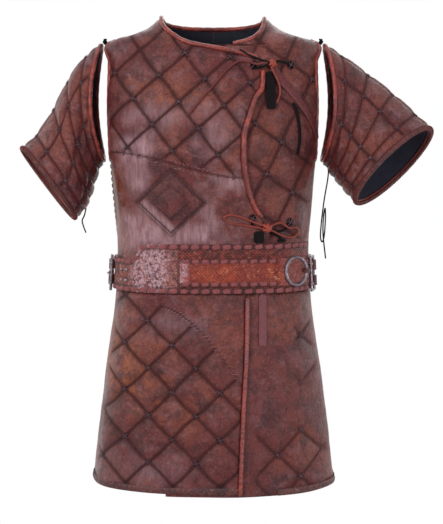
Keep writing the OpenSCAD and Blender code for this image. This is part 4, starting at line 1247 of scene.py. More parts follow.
class TUNIC_OT_stage(bpy.types.Operator):
    """Sets the white background, the lamps and the camera"""

    bl_idname = "tunic.stage"
    bl_label = "Stage"

    def execute(self, context):
        stage = context.scene.tunic_stage
        self.add_camera(context, stage)
        self.add_lamps(stage)
        self.add_floor(stage)
        self.light_world(context, stage)
        context.scene.view_settings.view_transform = "Standard"
        return {"FINISHED"}

    def aim(self, thing, *target):
        thing.rotation_euler = (Vector(target) - thing.location).to_track_quat("-Z", "Y").to_euler()

    def add_camera(self, context, stage):
        data = bpy.data.cameras.new("camera")
        camera = add_object("camera", data)
        data.sensor_width = 36
        data.lens = data.sensor_width * stage.distance / stage.view_h
        camera.location = (stage.aim_x, -stage.distance, stage.camera_z)
        self.aim(camera, stage.aim_x, 0, stage.aim_z)
        context.scene.camera = camera

    def add_lamps(self, stage):
        lamps = (("key lamp", stage.key, 0.9, (-1.4, -2.1, 0.5)),
                 ("fill lamp", stage.fill, 1.2, (1.7, -2.0, -0.5)),
                 ("top lamp", stage.rim, 1.2, (0.2, -0.2, 1.6)),
                 ("left rim lamp", stage.rim, 1.0, (-1.9, 0.8, -0.2)),
                 ("right rim lamp", stage.rim, 1.0, (1.9, 0.8, -0.2)),
                 ("back lamp", stage.rim * 2, 1.6, (0.3, 2.3, 0.4)))
        for name, power, size, where in lamps:
            data = bpy.data.lights.new(name, "AREA")
            data.energy = power
            data.size = size
            lamp = add_object(name, data)
            lamp.location = where
            self.aim(lamp, 0, 0, -0.4)

    def add_floor(self, stage):
        turns = np.radians(np.arange(0, 360, 5))
        rim = stage.floor_r * np.stack([np.cos(turns), np.sin(turns), 0 * turns], axis=1)
        mesh = bpy.data.meshes.new("pale floor")
        mesh.from_pydata(rim.tolist(), [], [list(range(len(rim)))])
        mesh.materials.append(paint_floor("pale floor"))
        floor = add_object("pale floor", mesh)
        floor.location = (0, 0, stage.floor_z)

    def light_world(self, context, stage):
        """Soft light from all round, which the camera sees as white."""
        p = Paint("white world", kind="worlds")
        soft = p.node("Background", {"Color": WHITE, "Strength": stage.world})
        plain = p.node("Background", {"Color": WHITE})
        both = p.node("MixShader", {0: p.seen(), 1: soft, 2: plain})
        p.node("OutputWorld", {"Surface": both}, None)
        context.scene.world = p.owner


class TUNIC_OT_ties(bpy.types.Operator):
    """Lays the neck and waist thongs and the laces under the sleeves"""

    bl_idname = "tunic.ties"
    bl_label = "Ties and laces"

    def execute(self, context):
        thong = (THONG_R, THONG_R * 0.8)
        ties = (("neck_thong_thin", NECK_THIN, *thong, "dark thong", "thong", "bare", "limp"),
                ("neck_thong_wide", NECK_WIDE, 7.5, 1.4, "wide strap", "wide_thong", "bare", "medium"),
                ("neck_thong_short", NECK_SHORT, *thong, "orange thong", "thong", "bare", "limp"),
                ("neck_lace_dark", NECK_DARK, 3.4, 1, "black leather", "dark_tab", "bare", "limp"),
                ("waist_bow_left", WAIST_LEFT, *thong, "orange thong", "thong", "object", "medium"),
                ("waist_bow_right", WAIST_RIGHT, *thong, "orange thong", "thong", "object", "medium"))
        for node, route, half_w, half_h, material, slot, far_end, stiffness in ties:
            path, normals = front_frames(spline(route, 8))
            add_cord(node.replace("_", " ").title().replace(" ", "") + "Lace", path, normals, half_w, half_h,
                     material, "torso", slot, node)
        for side, body, route, node in ((1, "sleeve_left", LACE_LEFT, "sleeve_lace_left"),
                                        (-1, "sleeve_right", LACE_RIGHT, "sleeve_laces_right")):
            add_cord("Hanging_" + node, spline(route, 6) * [side, 1, 1], [0, -1.0, 0], LACE_R, LACE_R,
                     "black leather", body, "lacing", node)
        return {"FINISHED"}


class TUNIC_OT_body_leather(bpy.types.Operator):
    """Makes the lapped, under and back panels of quilted leather"""

    bl_idname = "tunic.body_leather"
    bl_label = "Body leather"

    def execute(self, context):
        self.add_over()
        self.add_under()
        rows = rows_between((-BELT_LOW, 6), (-BELT_TOP - 5, 2.8), (-40, 2.2), (-NECK_BACK_DROP - 3, 0.6),
                            (-NECK_BACK_DROP * 0.8, 1.4), (TOP_Z, 0))
        lattice = back_lattice(BACK_PITCH, BACK_TOP, 13)
        for side, name in SIDES:
            back = Panel(rows, back_edges(side), no_lift, lattice, zone_back, 40 + side)
            back.ease(smooth(-BELT_TOP - 29, -BELT_TOP - 12, back.z))
            back.add(f"Back{name.title()}Leather", "back leather", "torso", f"back_panel_{name}")
        return {"FINISHED"}

    def add_over(self):
        """The lapped front, with its yoke seam, a flat place for the patch, painted highlight spots and
        orange-brown spots that partly stand in for highlights.
        """
        rows = rows_between((-BELT_LOW, 6), (-BELT_TOP - 5, 2.6), (-96, 1.5), (-84, 0.8), (-52, 1.2),
                            (-40, 2.4), (TOP_Z, 0))
        over = Panel(rows, (lambda z: -side_f(z), over_edge_f), over_lift, OVER_LATTICE, zone_over, 21)
        over.ease(press_share(over.x, over.z) * smooth(-BELT_TOP + 1, -BELT_TOP + 20, over.z))
        # The yoke seam is sunk and darkened with painted shade.
        over.score(over.z - yoke_z(over.x), 1.1, 2.4, 0.9, 2.0)
        patch = (np.abs(over.x - PATCH_MID[0]) / PATCH_HALF[0]
                 + np.abs(over.z - PATCH_MID[1]) / PATCH_HALF[1])
        over.relief = over.relief * smooth(1.05, 1.25, patch) - 0.5 * (patch < 1.05)
        # Painted shade round the patch's outline.
        over.crease = np.maximum(over.crease, 0.6 * bell(patch - 1.04, 0.05))
        # Painted highlight: pale sheen spots on the front.
        over.bloom = over.spots((1, -136, -282, 24, 50), (1, -128, -396, 36, 34), (0.8, -40, -396, 46, 24),
                                (0.8, 36, -300, 30, 14), (0.8, -140, -236, 40, 20), (0.6, -12, -352, 16, 34),
                                (0.6, -100, -180, 60, 20), (0.5, 4, -214, 26, 50))
        # Orange-brown spots, the tallest a strip that stands in for a highlight: partly painted highlight.
        over.tan = over.spots((1, -174, -330, 18, 110), (0.6, -60, -150, 60, 34), (0.6, 30, -240, 24, 60))
        over.add("FrontOverLeather", "over leather", "torso", "front_over_panel")

    def add_under(self):
        rows = rows_between((-BELT_LOW, 6), (-BELT_TOP - 5, 2.6), (-NECK_FRONT_DROP + 2, 1.2),
                            (-40, 2.2), (TOP_Z, 0))
        under = Panel(rows, (under_inner_f, side_f), no_lift, UNDER_LATTICE, zone_under, 31, under_mid_f)
        covered = smooth(over_x(under.z) + 8, over_x(under.z) + 22, under.x)
        free = np.where(under.z > -84, 1, covered)
        under.ease(press_share(under.x, under.z) * smooth(-BELT_TOP + 1, -BELT_TOP + 20, under.z) * free)
        under.add("FrontUnderLeather", "under leather", "torso", "front_under_panel")


class TUNIC_OT_linings(bpy.types.Operator):
    """Sews the dark cloth linings inside the body"""

    bl_idname = "tunic.linings"
    bl_label = "Body linings"

    def execute(self, context):
        linings = (("FrontOverLining", "front_right", (lambda z: -side_f(z), self.over_part), over_lift),
                   ("FrontUnderLining", "front_left", (under_inner_f, side_f), no_lift),
                   ("BackLeftLining", "back_left", back_edges(1), no_lift),
                   ("BackRightLining", "back_right", back_edges(-1), no_lift))
        for name, place, edges, off in linings:
            f, z = grid_of(rows_between((-BELT_LOW, 8), (-90, 4), (TOP_Z, 0)), *edges, 40)
            depth = off(f) - LAYER_GAP - LINING
            made = add_piece(name, layer(f, z, depth, depth + LINING), "lining cloth", "torso", "lining",
                             "lining_" + place)
            cloth = skin(f, z, depth)
        return {"FINISHED"}

    def over_part(self, z):
        """The lining ends where the two fronts start to lap."""
        return -side_f(z) + (over_edge_f(z) + side_f(z)) * 0.5


def rolled(path, normals, radius, closed=False, puff=0.5, pitch=21):
    """A stuffed leather roll with soft puckers where its stitches pull it in."""
    size = radius + puff * (np.abs(np.sin(np.pi * run_of(path) / pitch)) - 0.45)
    return tube(path, normals, size, size, 14, closed=closed, round_ends=not closed)


def edge_path(f_of, z, off, move, side):
    """Middle of a piping that runs along a panel's edge, moved off the edge by its own size."""
    f = f_of(z)
    normals = outward(f, z)
    return beside(skin(f, z, off(f) + LEATHER / 2), normals, side * move), normals


def piping_lift(f):
    """Lift of the pipings that lie on the lapped edge."""
    return over_lift(f) + PIPING_R - LEATHER / 2 + 0.4 - 1.4 * smooth(0, -20, f)


class TUNIC_OT_pipings(bpy.types.Operator):
    """Rolls the pipings of the neck, the front edge and the armholes"""

    bl_idname = "tunic.pipings"
    bl_label = "Body pipings"

    def execute(self, context):
        runs = (("NeckOver", "neck_piping_over", over_edge_f, (-81, -1.4, 2.2), piping_lift, 1, 0),
                ("NeckUnder", "neck_piping_under", under_inner_f, (-53, -1.4, 2.2), no_lift, -1, 0),
                ("FrontEdge", "front_edge_piping", over_edge_f, (-364, -102, 3), piping_lift, 1, 1.5))
        for name, node, f_of, span, off, side, swell in runs:
            path, normals = edge_path(f_of, np.arange(*span), off, ROLL_OUT, side)
            radius = PIPING_R + swell * np.sin(np.linspace(0, np.pi, len(path)))
            self.add_roll(name, path, normals, node, radius)
        self.add_neck_back()
        for side, name in SIDES:
            self.add_armhole(side, name)
        return {"FINISHED"}

    def add_roll(self, name, path, normals, node, radius=PIPING_R, closed=False):
        shape = rolled(path, normals, radius, closed)
        add_piece(name + "Piping", shape, "glossy piping", "torso", "piping", node)

    def add_neck_back(self):
        z = np.concatenate([np.arange(-1.5, -NECK_BACK_DROP, -0.5), np.arange(-NECK_BACK_DROP, -1.4, 0.5)])
        side = np.where(np.arange(len(z)) < len(z) // 2, 1, -1)
        f = 180 - side * back_inner_f(z)
        normals = outward(f, z)
        path = beside(skin(f, z, LEATHER / 2), normals, -ROLL_OUT)
        self.add_roll("NeckBack", *even_frames(path, normals, 3), "neck_piping_back")

    def add_armhole(self, side, name):
        down = np.linspace(-44, -258, 60)
        up = down[::-1]
        f = side * np.concatenate([side_f(down), [90], 180 - side_f(up, True), [90]])
        z = np.concatenate([down, [-262], up, [-41]])
        edge, normals = even_frames(skin(f, z, LEATHER / 2), outward(f, z), 3, True)
        path = beside(edge, normals, ROLL_OUT * side, True)
        self.add_roll(f"Armhole{name.title()}", path, normals, f"armhole_piping_{name}", closed=True)


class TUNIC_OT_body_trim(bpy.types.Operator):
    """Ties the thread knots and stitches the chest patch, the yoke seam and the side seams"""

    bl_idname = "tunic.body_trim"
    bl_label = "Knots and seams"

    def execute(self, context):
        add_front_knots("OverPanelKnots", OVER_LATTICE, 6, over_holds, over_lift, 61, "torso",
                        "over_panel_knots")
        add_front_knots("UnderPanelKnots", UNDER_LATTICE, 5, under_holds, no_lift, 61, "torso",
                        "under_panel_knots")
        add_back_knots("BackPanelKnots", BACK_PITCH, BACK_TOP, 14, -BELT_TOP + 16, 0.86, 63, "torso",
                       "back_panel_knots")
        self.add_patch()
        self.add_yoke()
        self.add_side_seams()
        return {"FINISHED"}

    def add_patch(self):
        """One stitched diamond lies inside another."""
        stitched, edge_at = (0.53, 0.93), np.linspace(-1, 1, 70)
        u, v = np.meshgrid(edge_at, edge_at)
        x, z = self.on_patch(u, v)
        ring = np.maximum(np.abs(u), np.abs(v))
        relief = 0.9 * (1 - smooth(0.5, 0.56, ring)) + 0.7 * smooth(1.0, 0.9, ring)
        relief = relief + 0.25 * wander(x, z, 14, 5) - 0.8 * sum(bell(ring - line, 0.03) for line in stitched)
        f = angle_x(x, z)
        low = over_lift(f) + LEATHER - 0.9
        # Painted shade along the patch's stitched lines, and a painted highlight strip inside its lower side.
        marks = faced(1, crease=0.75 * bell(ring - stitched[1], 0.05) + 0.5 * bell(ring - stitched[0], 0.05),
                      bloom=0.9 * smooth(-0.5, -0.8, v) * smooth(-0.95, -0.7, u))
        add_piece("ChestPatch", layer(f, z, low, low + 1.6 + relief), "patch leather", "torso", "patch",
                  "chest_patch", marks=marks)
        places = []
        for size in stitched:
            for s in np.arange(-0.95, 0.96, 0.13 / size):
                for a, b, turn in ((s, 1, -44), (s, -1, -44), (1, s, 44), (-1, s, 44)):
                    places.append(place_at(*self.on_patch(size * a, size * b), 1.0, turn))
        add_stitches("ChestPatchStitches", (5, 0.45, 0.9), places, "thread", "torso", "knot_thread")

    def on_patch(self, u, v):
        """A place on the patch, whose sides lie along u and v."""
        return PATCH_MID[0] + PATCH_HALF[0] * (u + v) / 2, PATCH_MID[1] + PATCH_HALF[1] * (v - u) / 2

    def add_yoke(self):
        """Crossed laces and a row of thread under them along the slanting seam."""
        places, threads = [], []
        rng = default_rng(71)
        for k in range(16):
            x = -172 + 14 * k
            z = float(yoke_z(x))
            turn = (50 if k % 2 else -40) + rng.uniform(-22, 22)
            places.append(place_at(x, z, -0.4, turn, rng.uniform(0.6, 1.0)))
            for step, row in ((-5, -5.5), (-5, 5.5), (2, -5.5), (2, 5.5)):
                turn = rng.uniform(-70, 40)
                threads.append(place_at(x + step, z + row, 0, turn, rng.uniform(0.5, 1.1)))
        add_stitches("YokeLacing", (12, 1.1, 1.7, 8), places, "wide strap", "torso", "lacing",
                     "yoke_seam_lacing")
        add_stitches("YokeStitches", (6, 0.5, 0.8), threads, "pale thread", "torso", "knot_thread")

    def add_side_seams(self):
        places = [place_on(90 * side, -274 - 12 * k, LEATHER - 0.2, turn, 0.95)
                  for side, _ in SIDES for k in range(11) for turn in (28, -28)]
        add_stitches("SideLacing", (15, 1.3, 1.4, 8), places, "black leather", "torso", "lacing",
                     "side_lacing")


def add_tab(name, x, top, low, half_w, off_of, lift, thick, material, body, slot, *nodes):
    """A flat tongue of leather that lies down the front."""
    z = np.arange(top, low - 0.1, -2.2)[::-1, None]
    s = np.linspace(-1, 1, 13)
    x = x + s * half_w * np.minimum(1, 0.55 + np.minimum(z - low, top - z) / 6)
    z = np.broadcast_to(z, x.shape)
    f = angle_x(x, z)
    inner = off_of(f) + lift
    outer = inner + thick * (1 - 0.35 * np.abs(s)**4) + 0.25 * wander(x, z, 6, 12)
    add_piece(name, layer(f, z, inner, outer), material, body, slot, *nodes)


class TUNIC_OT_tie_parts(bpy.types.Operator):
    """Makes the eyelets, the two tie knots and the dark tab"""

    bl_idname = "tunic.tie_parts"
    bl_label = "Eyelets and knots"

    def execute(self, context):
        self.add_eyelets()
        self.add_knot("NeckTieKnot", NECK_KNOT, NECK_KNOT_LIFT, "neck_tie_knot", 91)
        self.add_knot("WaistTieKnot", WAIST_KNOT, WAIST_KNOT_LIFT, "waist_tie_knot", 92)
        for tab, *nodes in ((("NeckTab", NECK_TAB_X, -104, -170, NECK_TAB_HALF_W, over_lift), "neck_tab"),
                            (("WaistTabLeft", 82, -389, -411, 9, over_lift),),
                            (("WaistTabRight", 124, -404, -412, 8, no_lift),)):
            add_tab(*tab, LEATHER + 0.5, 2, "black leather", "torso", "dark_tab", *nodes)
        self.add_strands()
        return {"FINISHED"}

    def add_strands(self):
        """Short dark laces that hold each tie knot down to its eyelets."""
        routes = (((48, -66, 12), (66, -76, 12), (84, -84, 13), (100, -89, 14)),
                  ((70, -99, 8.5), (80, -98, 10), (92, -95, 12), (104, -90, 13)),
                  ((106, -89, 12), (118, -84, 8), (130, -86, 5.5), (140, -91, 5.4)),
                  ((68, -374, 8.5), (78, -382, 10), (90, -384, 12), (98, -381, 13)),
                  ((96, -382, 13), (112, -390, 7), (128, -388, 5.6), (139, -378, 5.2)),
                  ((96, -384, 13), (106, -394, 8), (116, -398, 6), (126, -408, 5.6)))
        parts = [tube(*front_frames(spline(route, 6)), 2.2, 1.2, 8) for route in routes]
        add_piece("TieStrands", joined(parts), "black leather", "torso", "lacing")

    def add_eyelets(self):
        """Leather rings with a hub and a whip stitch all round, and a knot on each."""
        ring = np.radians(np.arange(0, 360, 12))[:, None]
        parts, places = [], []
        for x, z, over in EYELETS:
            f, low = angle_x(x, z), LEATHER + (LAP if over else 0)
            origin, across, up, n, _ = place_on(f, z, low + 0.3)
            circle = origin + (EYELET_R - 1.7) * (np.cos(ring) * across + np.sin(ring) * up)
            parts.append(tube(circle, n, 1.7, 1.0, 10, closed=True))
            hub_r, hub = EYELET_R - 2.2, [origin - n * 0.6, origin + n * 0.1]
            parts.append(tube(hub, across, hub_r, hub_r, 16, round_ends=False))
            for turn in np.arange(0, 360, 40):
                out = turned(across, up, turn)[0]
                whip = [origin + out * far + n * high for far, high in ((5.8, 0.9), (7.6, 0.6), (8.8, -0.7))]
                parts.append(tube(whip, n, 0.5, 0.4, 6))
            places.append(place_on(f, z, low + 1.2, 20, 0.95))
        add_piece("TieEyelets", joined(parts), "black leather", "torso", "eyelet", "tie_eyelets")
        add_knots("EyeletKnots", places, "torso")

    def add_knot(self, name, at, lift, node, seed):
        """Turns of thong wound round one another."""
        origin, across, up, n, _ = place_on(angle_x(*at), at[1], lift - 3, 20)
        rng = default_rng(seed)
        parts = []
        a = np.radians(np.arange(0, 360, 15))[:, None]
        turns = ((0, 7.4, 3.2, 4.4), (62, 6.6, 4.6, 3.8), (-58, 7.0, 4.1, 4.1), (90, 5.4, 5.6, 3.2))
        for turn, size, high, wide in turns:
            first, second = turned(across, up, turn)
            middle = origin + n * (high - 1.5) + (first * rng.uniform(-1, 1) + second * rng.uniform(-1, 1))
            loop = middle + size * np.cos(a) * first + wide * np.sin(a) * n + 1.4 * np.sin(2 * a) * second
            parts.append(tube(loop, second, 2.5, 2.5, 10, closed=True))
        add_piece(name, joined(parts), "knot", "torso", "thong", node)


def belt_grid(start, end, low, high, step=2.2):
    """Angles and heights of a band between two angles. high gives its upper edge at an angle."""
    f = np.linspace(start, end, max(20, round((end - start) * 3.4 / step)))
    share = np.linspace(0, 1, max(8, round((high(start + 40) - low) / step)))[:, None]
    z = low * (1 - share) + high(f) * share
    return np.broadcast_to(f, z.shape), z


def add_band(name, f, z, off, thick, relief, material, slot, node, **tones):
    """A band of embossed leather with marks for its scales."""
    inner = skin(f, z, off)
    outer = skin(f, z, off + thick * (1 - 0.35 * bell(border_gap(inner), 1.8)) + relief)
    marks = faced(1, **tones, along=np.broadcast_to(run_of(inner[len(z) // 2]), z.shape), up=z)
    add_piece(name, shell(outer, inner), material, "torso", slot, node, marks=marks)


def band_high(f):
    """Height of the front band: it narrows towards the wearer's right hip."""
    return BELT_END_H + (BELT_H - 1 - BELT_END_H) * smooth(-50, -38, f)


class TUNIC_OT_belt(bpy.types.Operator):
    """Makes the belt bands, the embossed strap, the laced edges and the rivets"""

    bl_idname = "tunic.belt"
    bl_label = "Belt"

    def execute(self, context):
        self.add_front()
        f, z = belt_grid(BELT_TO + 2, BELT_FROM + 358, BELT_BASE, steady(BELT_BASE + BELT_END_H))
        relief = np.minimum(0.8 * wander(f, z, 7, 84), 0.8)
        add_band("BeltBack", f, z, belt_lift(np.where(f > 180, f - 360, f)), BELT_T, relief, "belt scales",
                 "belt_leather", "belt_back", worn=0.1 + 0 * f)
        self.add_strap()
        self.add_laces()
        self.add_rivets()
        return {"FINISHED"}

    def add_front(self):
        f, z = belt_grid(BELT_FROM, BELT_TO, BELT_BASE, lambda v: BELT_BASE + band_high(v))
        edge_gap = np.minimum(z - BELT_BASE, BELT_BASE + band_high(f) - z)
        groove = bell(edge_gap - 10, 1.6)
        relief = 0.45 * (0.8 * wander(f, z, 7, 81) + 0.35 * wander(f * 3, z, 9, 82)) - 0.9 * groove
        plain_end = smooth(-20.5, -19, f)
        # Pale speckles of wear with painted glints in them, over the wide stretch before the strap.
        worn = smooth(-54, -43, f) * smooth(-23, -28, f) + 0.25 * smooth(-28, -23, f) * (1 - plain_end)
        orange = 0.9 * smooth(-82, -76, f) * smooth(-52, -60, f) + smooth(-30, -25, f) * (1 - plain_end)
        # Painted shade in the groove along each edge and under the laces along the edges.
        edges = groove + 0.75 * smooth(9, 6, edge_gap) * np.maximum(plain_end, f < -52)
        add_band("BeltFront", f, z, belt_lift(f), BELT_T, np.minimum(relief, 0.9), "belt scales",
                 "belt_leather", "belt_front", worn=worn, tan=orange * smooth(8, 12, edge_gap),
                 crease=np.clip(edges, 0, 1))

    def add_strap(self):
        f, z = belt_grid(STRAP_FROM, STRAP_TO, STRAP_LOW, steady(STRAP_TOP), 1.8)
        edge_gap = np.minimum(z - STRAP_LOW, STRAP_TOP - z)
        laced, free, start = f < STRAP_FREE, smooth(STRAP_FREE, STRAP_FREE + 4, f), smooth(-12, -16, f)
        relief = (0.35 * wander(f, z, 5, 85) - 0.8 * bell(edge_gap - 9, 1.4) * laced
                  - 1.6 * bell(f - STRAP_FREE, 1.2))
        # Painted shade along the laced edges and in the slit where the strap starts.
        edges = 0.8 * smooth(8, 5, edge_gap) * laced + smooth(STRAP_FROM + 1.2, STRAP_FROM + 0.4, f)
        # Orange middle of the strap, where most painted glints fall.
        tan = (1 - start) * smooth(9, 13, edge_gap) * (0.7 + 0.5 * wander(2 * f, z, 18, 87))
        add_band("BeltStrap", f, z, belt_lift(f) + BELT_T + STRAP_GAP, STRAP_T, np.minimum(relief, 0.8),
                 "strap scales", "strap_leather", "belt_strap", worn=np.maximum(free * 0.25, 0.85 * start),
                 crease=np.clip(edges, 0, 1), tan=tan)

    def add_laces(self):
        rng = default_rng(86)
        places, strap_places, ties, rear = [], [], [], []
        for f in np.arange(BELT_FROM + 4, BELT_TO - 3, 6):
            off = belt_lift(f) + BELT_T
            for z, way in ((BELT_BASE + 4.4, 0), (BELT_BASE + float(band_high(f)) - 4.4, 180)):
                places.append(place_on(f, z, off, way + rng.uniform(-5, 5), rng.uniform(0.94, 1.04)))
                ties.append(place_on(f + 3, z, off, 90 + rng.uniform(-20, 20)))
        for f in np.arange(STRAP_FROM + 4, STRAP_FREE + 1, 5.4):
            off = belt_lift(f) + BELT_T + STRAP_GAP + STRAP_T
            for z, way in ((STRAP_LOW + 4, 0), (STRAP_TOP - 4, 180)):
                strap_places.append(place_on(f, z, off, way + rng.uniform(-6, 6), rng.uniform(0.92, 1.02)))
                ties.append(place_on(f + 2.7, z, off, 90 + rng.uniform(-20, 20)))
        for f in np.arange(BELT_TO + 6, BELT_FROM + 356, 6):
            off = belt_lift(f - 360 if f > 180 else f) + BELT_T
            rear += [place_on(f, BELT_BASE + 4.4, off), place_on(f, BELT_BASE + BELT_END_H - 4.4, off, 180)]
        ribbon, narrow = ribbon_template(14.5, 8.5, 1.3), ribbon_template(13, 7, 1.1)
        for name, template, at, material, slot, *nodes in (
                ("BeltLacing", ribbon, places, "belt lace", "lacing", "belt_lacing"),
                ("StrapLacing", narrow, strap_places, "belt lace", "lacing", "strap_lacing"),
                ("LacingThread", stitch_template(9, 0.7, 1.1), ties, "thread", "knot_thread"),
                ("BeltBackLacing", ribbon, rear, "belt lace", "lacing")):
            add_piece(name, copies(template, at), material, "torso", slot, *nodes)

    def add_rivets(self):
        """Low domed heads with a flat foot, beside each tab and near the strap's ends."""
        a, turns = np.linspace(0, np.pi / 2, 7)[:-1, None], np.radians(np.arange(0, 360, 22.5))
        round_r, high = RIVET_R * np.cos(a), RIVET_H * np.sin(a)
        rings = np.stack(np.broadcast_arrays(round_r * np.cos(turns), round_r * np.sin(turns), high), axis=-1)
        places = [place_on(f, HIP_Z + side * 10, belt_lift(f) + BELT_T + 0.3)
                  for f in (-60, -54) for side in (-1, 1)]
        for hip_f, way, _ in HIPS:
            origin, x, y, n, _ = place_on(hip_f, HIP_Z, HIP_LIFT)
            places += [(origin - x * 15 * way + y * side * 14 - n * 3.1, x, y, n, 1.0) for side in (-1, 1)]
        domes = copies(wrapped(rings, [[0, 0, 0], [0, 0, RIVET_H]]), places)
        add_piece("BeltRivets", domes, "forged steel", "torso", "steel", "belt_rivets")


class TUNIC_OT_hardware(bpy.types.Operator):
    """Gives the frames, the ring and their leather tabs their finishes and fine shapes"""

    bl_idname = "tunic.hardware"
    bl_label = "Belt hardware"

    def execute(self, context):
        finishes = (("forged steel", ("right_hip_frame", "right_hip_tongue", "left_hip_frame", "belt_ring")),
                    ("binding", ("right_hip_tab", "left_hip_tab", "ring_tab")))
        for material, nodes in finishes:
            for node in nodes:
                slots = bpy.data.objects[node].data.materials
                slots.clear()
                slots.append(bpy.data.materials[material])
        for hip in HIPS:
            self.add_balls(*hip)
        return {"FINISHED"}

    def add_balls(self, hip_f, way, body):
        """Knobs on the outer bar of a frame."""
        origin, x, y, n, _ = place_on(hip_f, HIP_Z, HIP_LIFT)
        a = np.linspace(-1, 1, 9)
        size = KNOB_R * np.sqrt(np.maximum(0.02, 1 - a**2))
        middles = [origin + x * FRAME_W * way + y * side * FRAME_H * 0.3 for side in (-1, 1)]
        balls = [tube(middle + np.outer(a * KNOB_R, x * way), n, size, size, 14, round_ends=False)
                 for middle in middles]
        add_piece(body.title().replace("_", "") + "Knobs", joined(balls), "forged steel", body, "steel")


# Sleeves: curves from a head loop at the armhole to the cuff, which has its middle, tilt, radii and turn.
CUFFS = {-1: ((307, -16, -303), 37, (80, 90), 10), 1: ((335, -34, -270), 46, (95, 78), 22)}
HEAD_X = 212
HEAD_LOW_X = 210
HEAD_BOW = 18
HEAD_HALF_D = 68
HEAD_TOP = -50
HEAD_LOW = -ARMPIT_DROP - 6
SLEEVE_PULL = 0.36
# The quilting of a sleeve: its rough radius and length, its first line and the pitches round and along it.
SLEEVE_R = 86
SLEEVE_RUN = 230
DEG_RUN = 2 * np.pi * SLEEVE_R / 360
FIRST_A = 15
FIRST_T = 0.125
PITCH_A = 45
PITCH_T = 0.25


def sleeve_mid(side, a, t):
    """Points of a sleeve's inner face: a goes round it from its top, t from the head to the cuff."""
    middle, tilt, radii, turn = CUFFS[side]
    a, t = np.broadcast_arrays(np.asarray(a, float), np.asarray(t, float))
    sine, high = np.sin(np.radians(a)), (1 + np.cos(np.radians(a))) / 2
    tilt, turn = math.radians(tilt), math.radians(turn)
    up = np.array([math.sin(tilt), 0, math.cos(tilt)])
    axis = np.array([math.cos(tilt) * math.cos(turn), -math.sin(turn), -math.sin(tilt) * math.cos(turn)])
    head = np.stack([HEAD_LOW_X + (HEAD_X - HEAD_LOW_X) * high + HEAD_BOW * sine**2, -HEAD_HALF_D * sine,
                     HEAD_LOW + (HEAD_TOP - HEAD_LOW) * high], axis=-1)
    cuff = (np.array(middle) + (radii[0] * np.cos(np.radians(a)))[..., None] * up
            - (radii[1] * sine)[..., None] * np.cross(up, axis))
    reach = np.linalg.norm(cuff - head, axis=-1, keepdims=True) * SLEEVE_PULL
    pull = np.stack([0.55 + 0.3 * high, -0.2 * sine, -0.83 + 0.31 * high], axis=-1)
    second = head + unit(pull) * reach
    third = cuff - axis * reach
    t = t[..., None]
    return (1 - t)**3 * head + 3 * (1 - t)**2 * t * second + 3 * (1 - t) * t * t * third + t**3 * cuff


def sleeve_out(side, a, t):
    t = np.asarray(t, float)
    near, far = np.maximum(0, t - 0.01), np.minimum(1, t + 0.01)
    return unit(np.cross(sleeve_mid(side, a + 1, t) - sleeve_mid(side, a - 1, t),
                         sleeve_mid(side, a, far) - sleeve_mid(side, a, near)))


def sleeve_skin(side, a, t, off):
    """Points off a sleeve's inner face, and the directions out of it there."""
    out = sleeve_out(side, a, t)
    return (sleeve_mid(side, a, t) + np.asarray(off)[..., None] * out) * [side, 1, 1], out * [side, 1, 1]


def past_line(run, pitch):
    """How far past the nearest of evenly spaced lines."""
    return (run + pitch / 2) % pitch - pitch / 2


def sleeve_sway(side, a, t):
    """How far a sleeve's quilting lines bow."""
    return 2.2 * wander((a - FIRST_A) * DEG_RUN, (t - FIRST_T) * SLEEVE_RUN, 38, 51 + side)


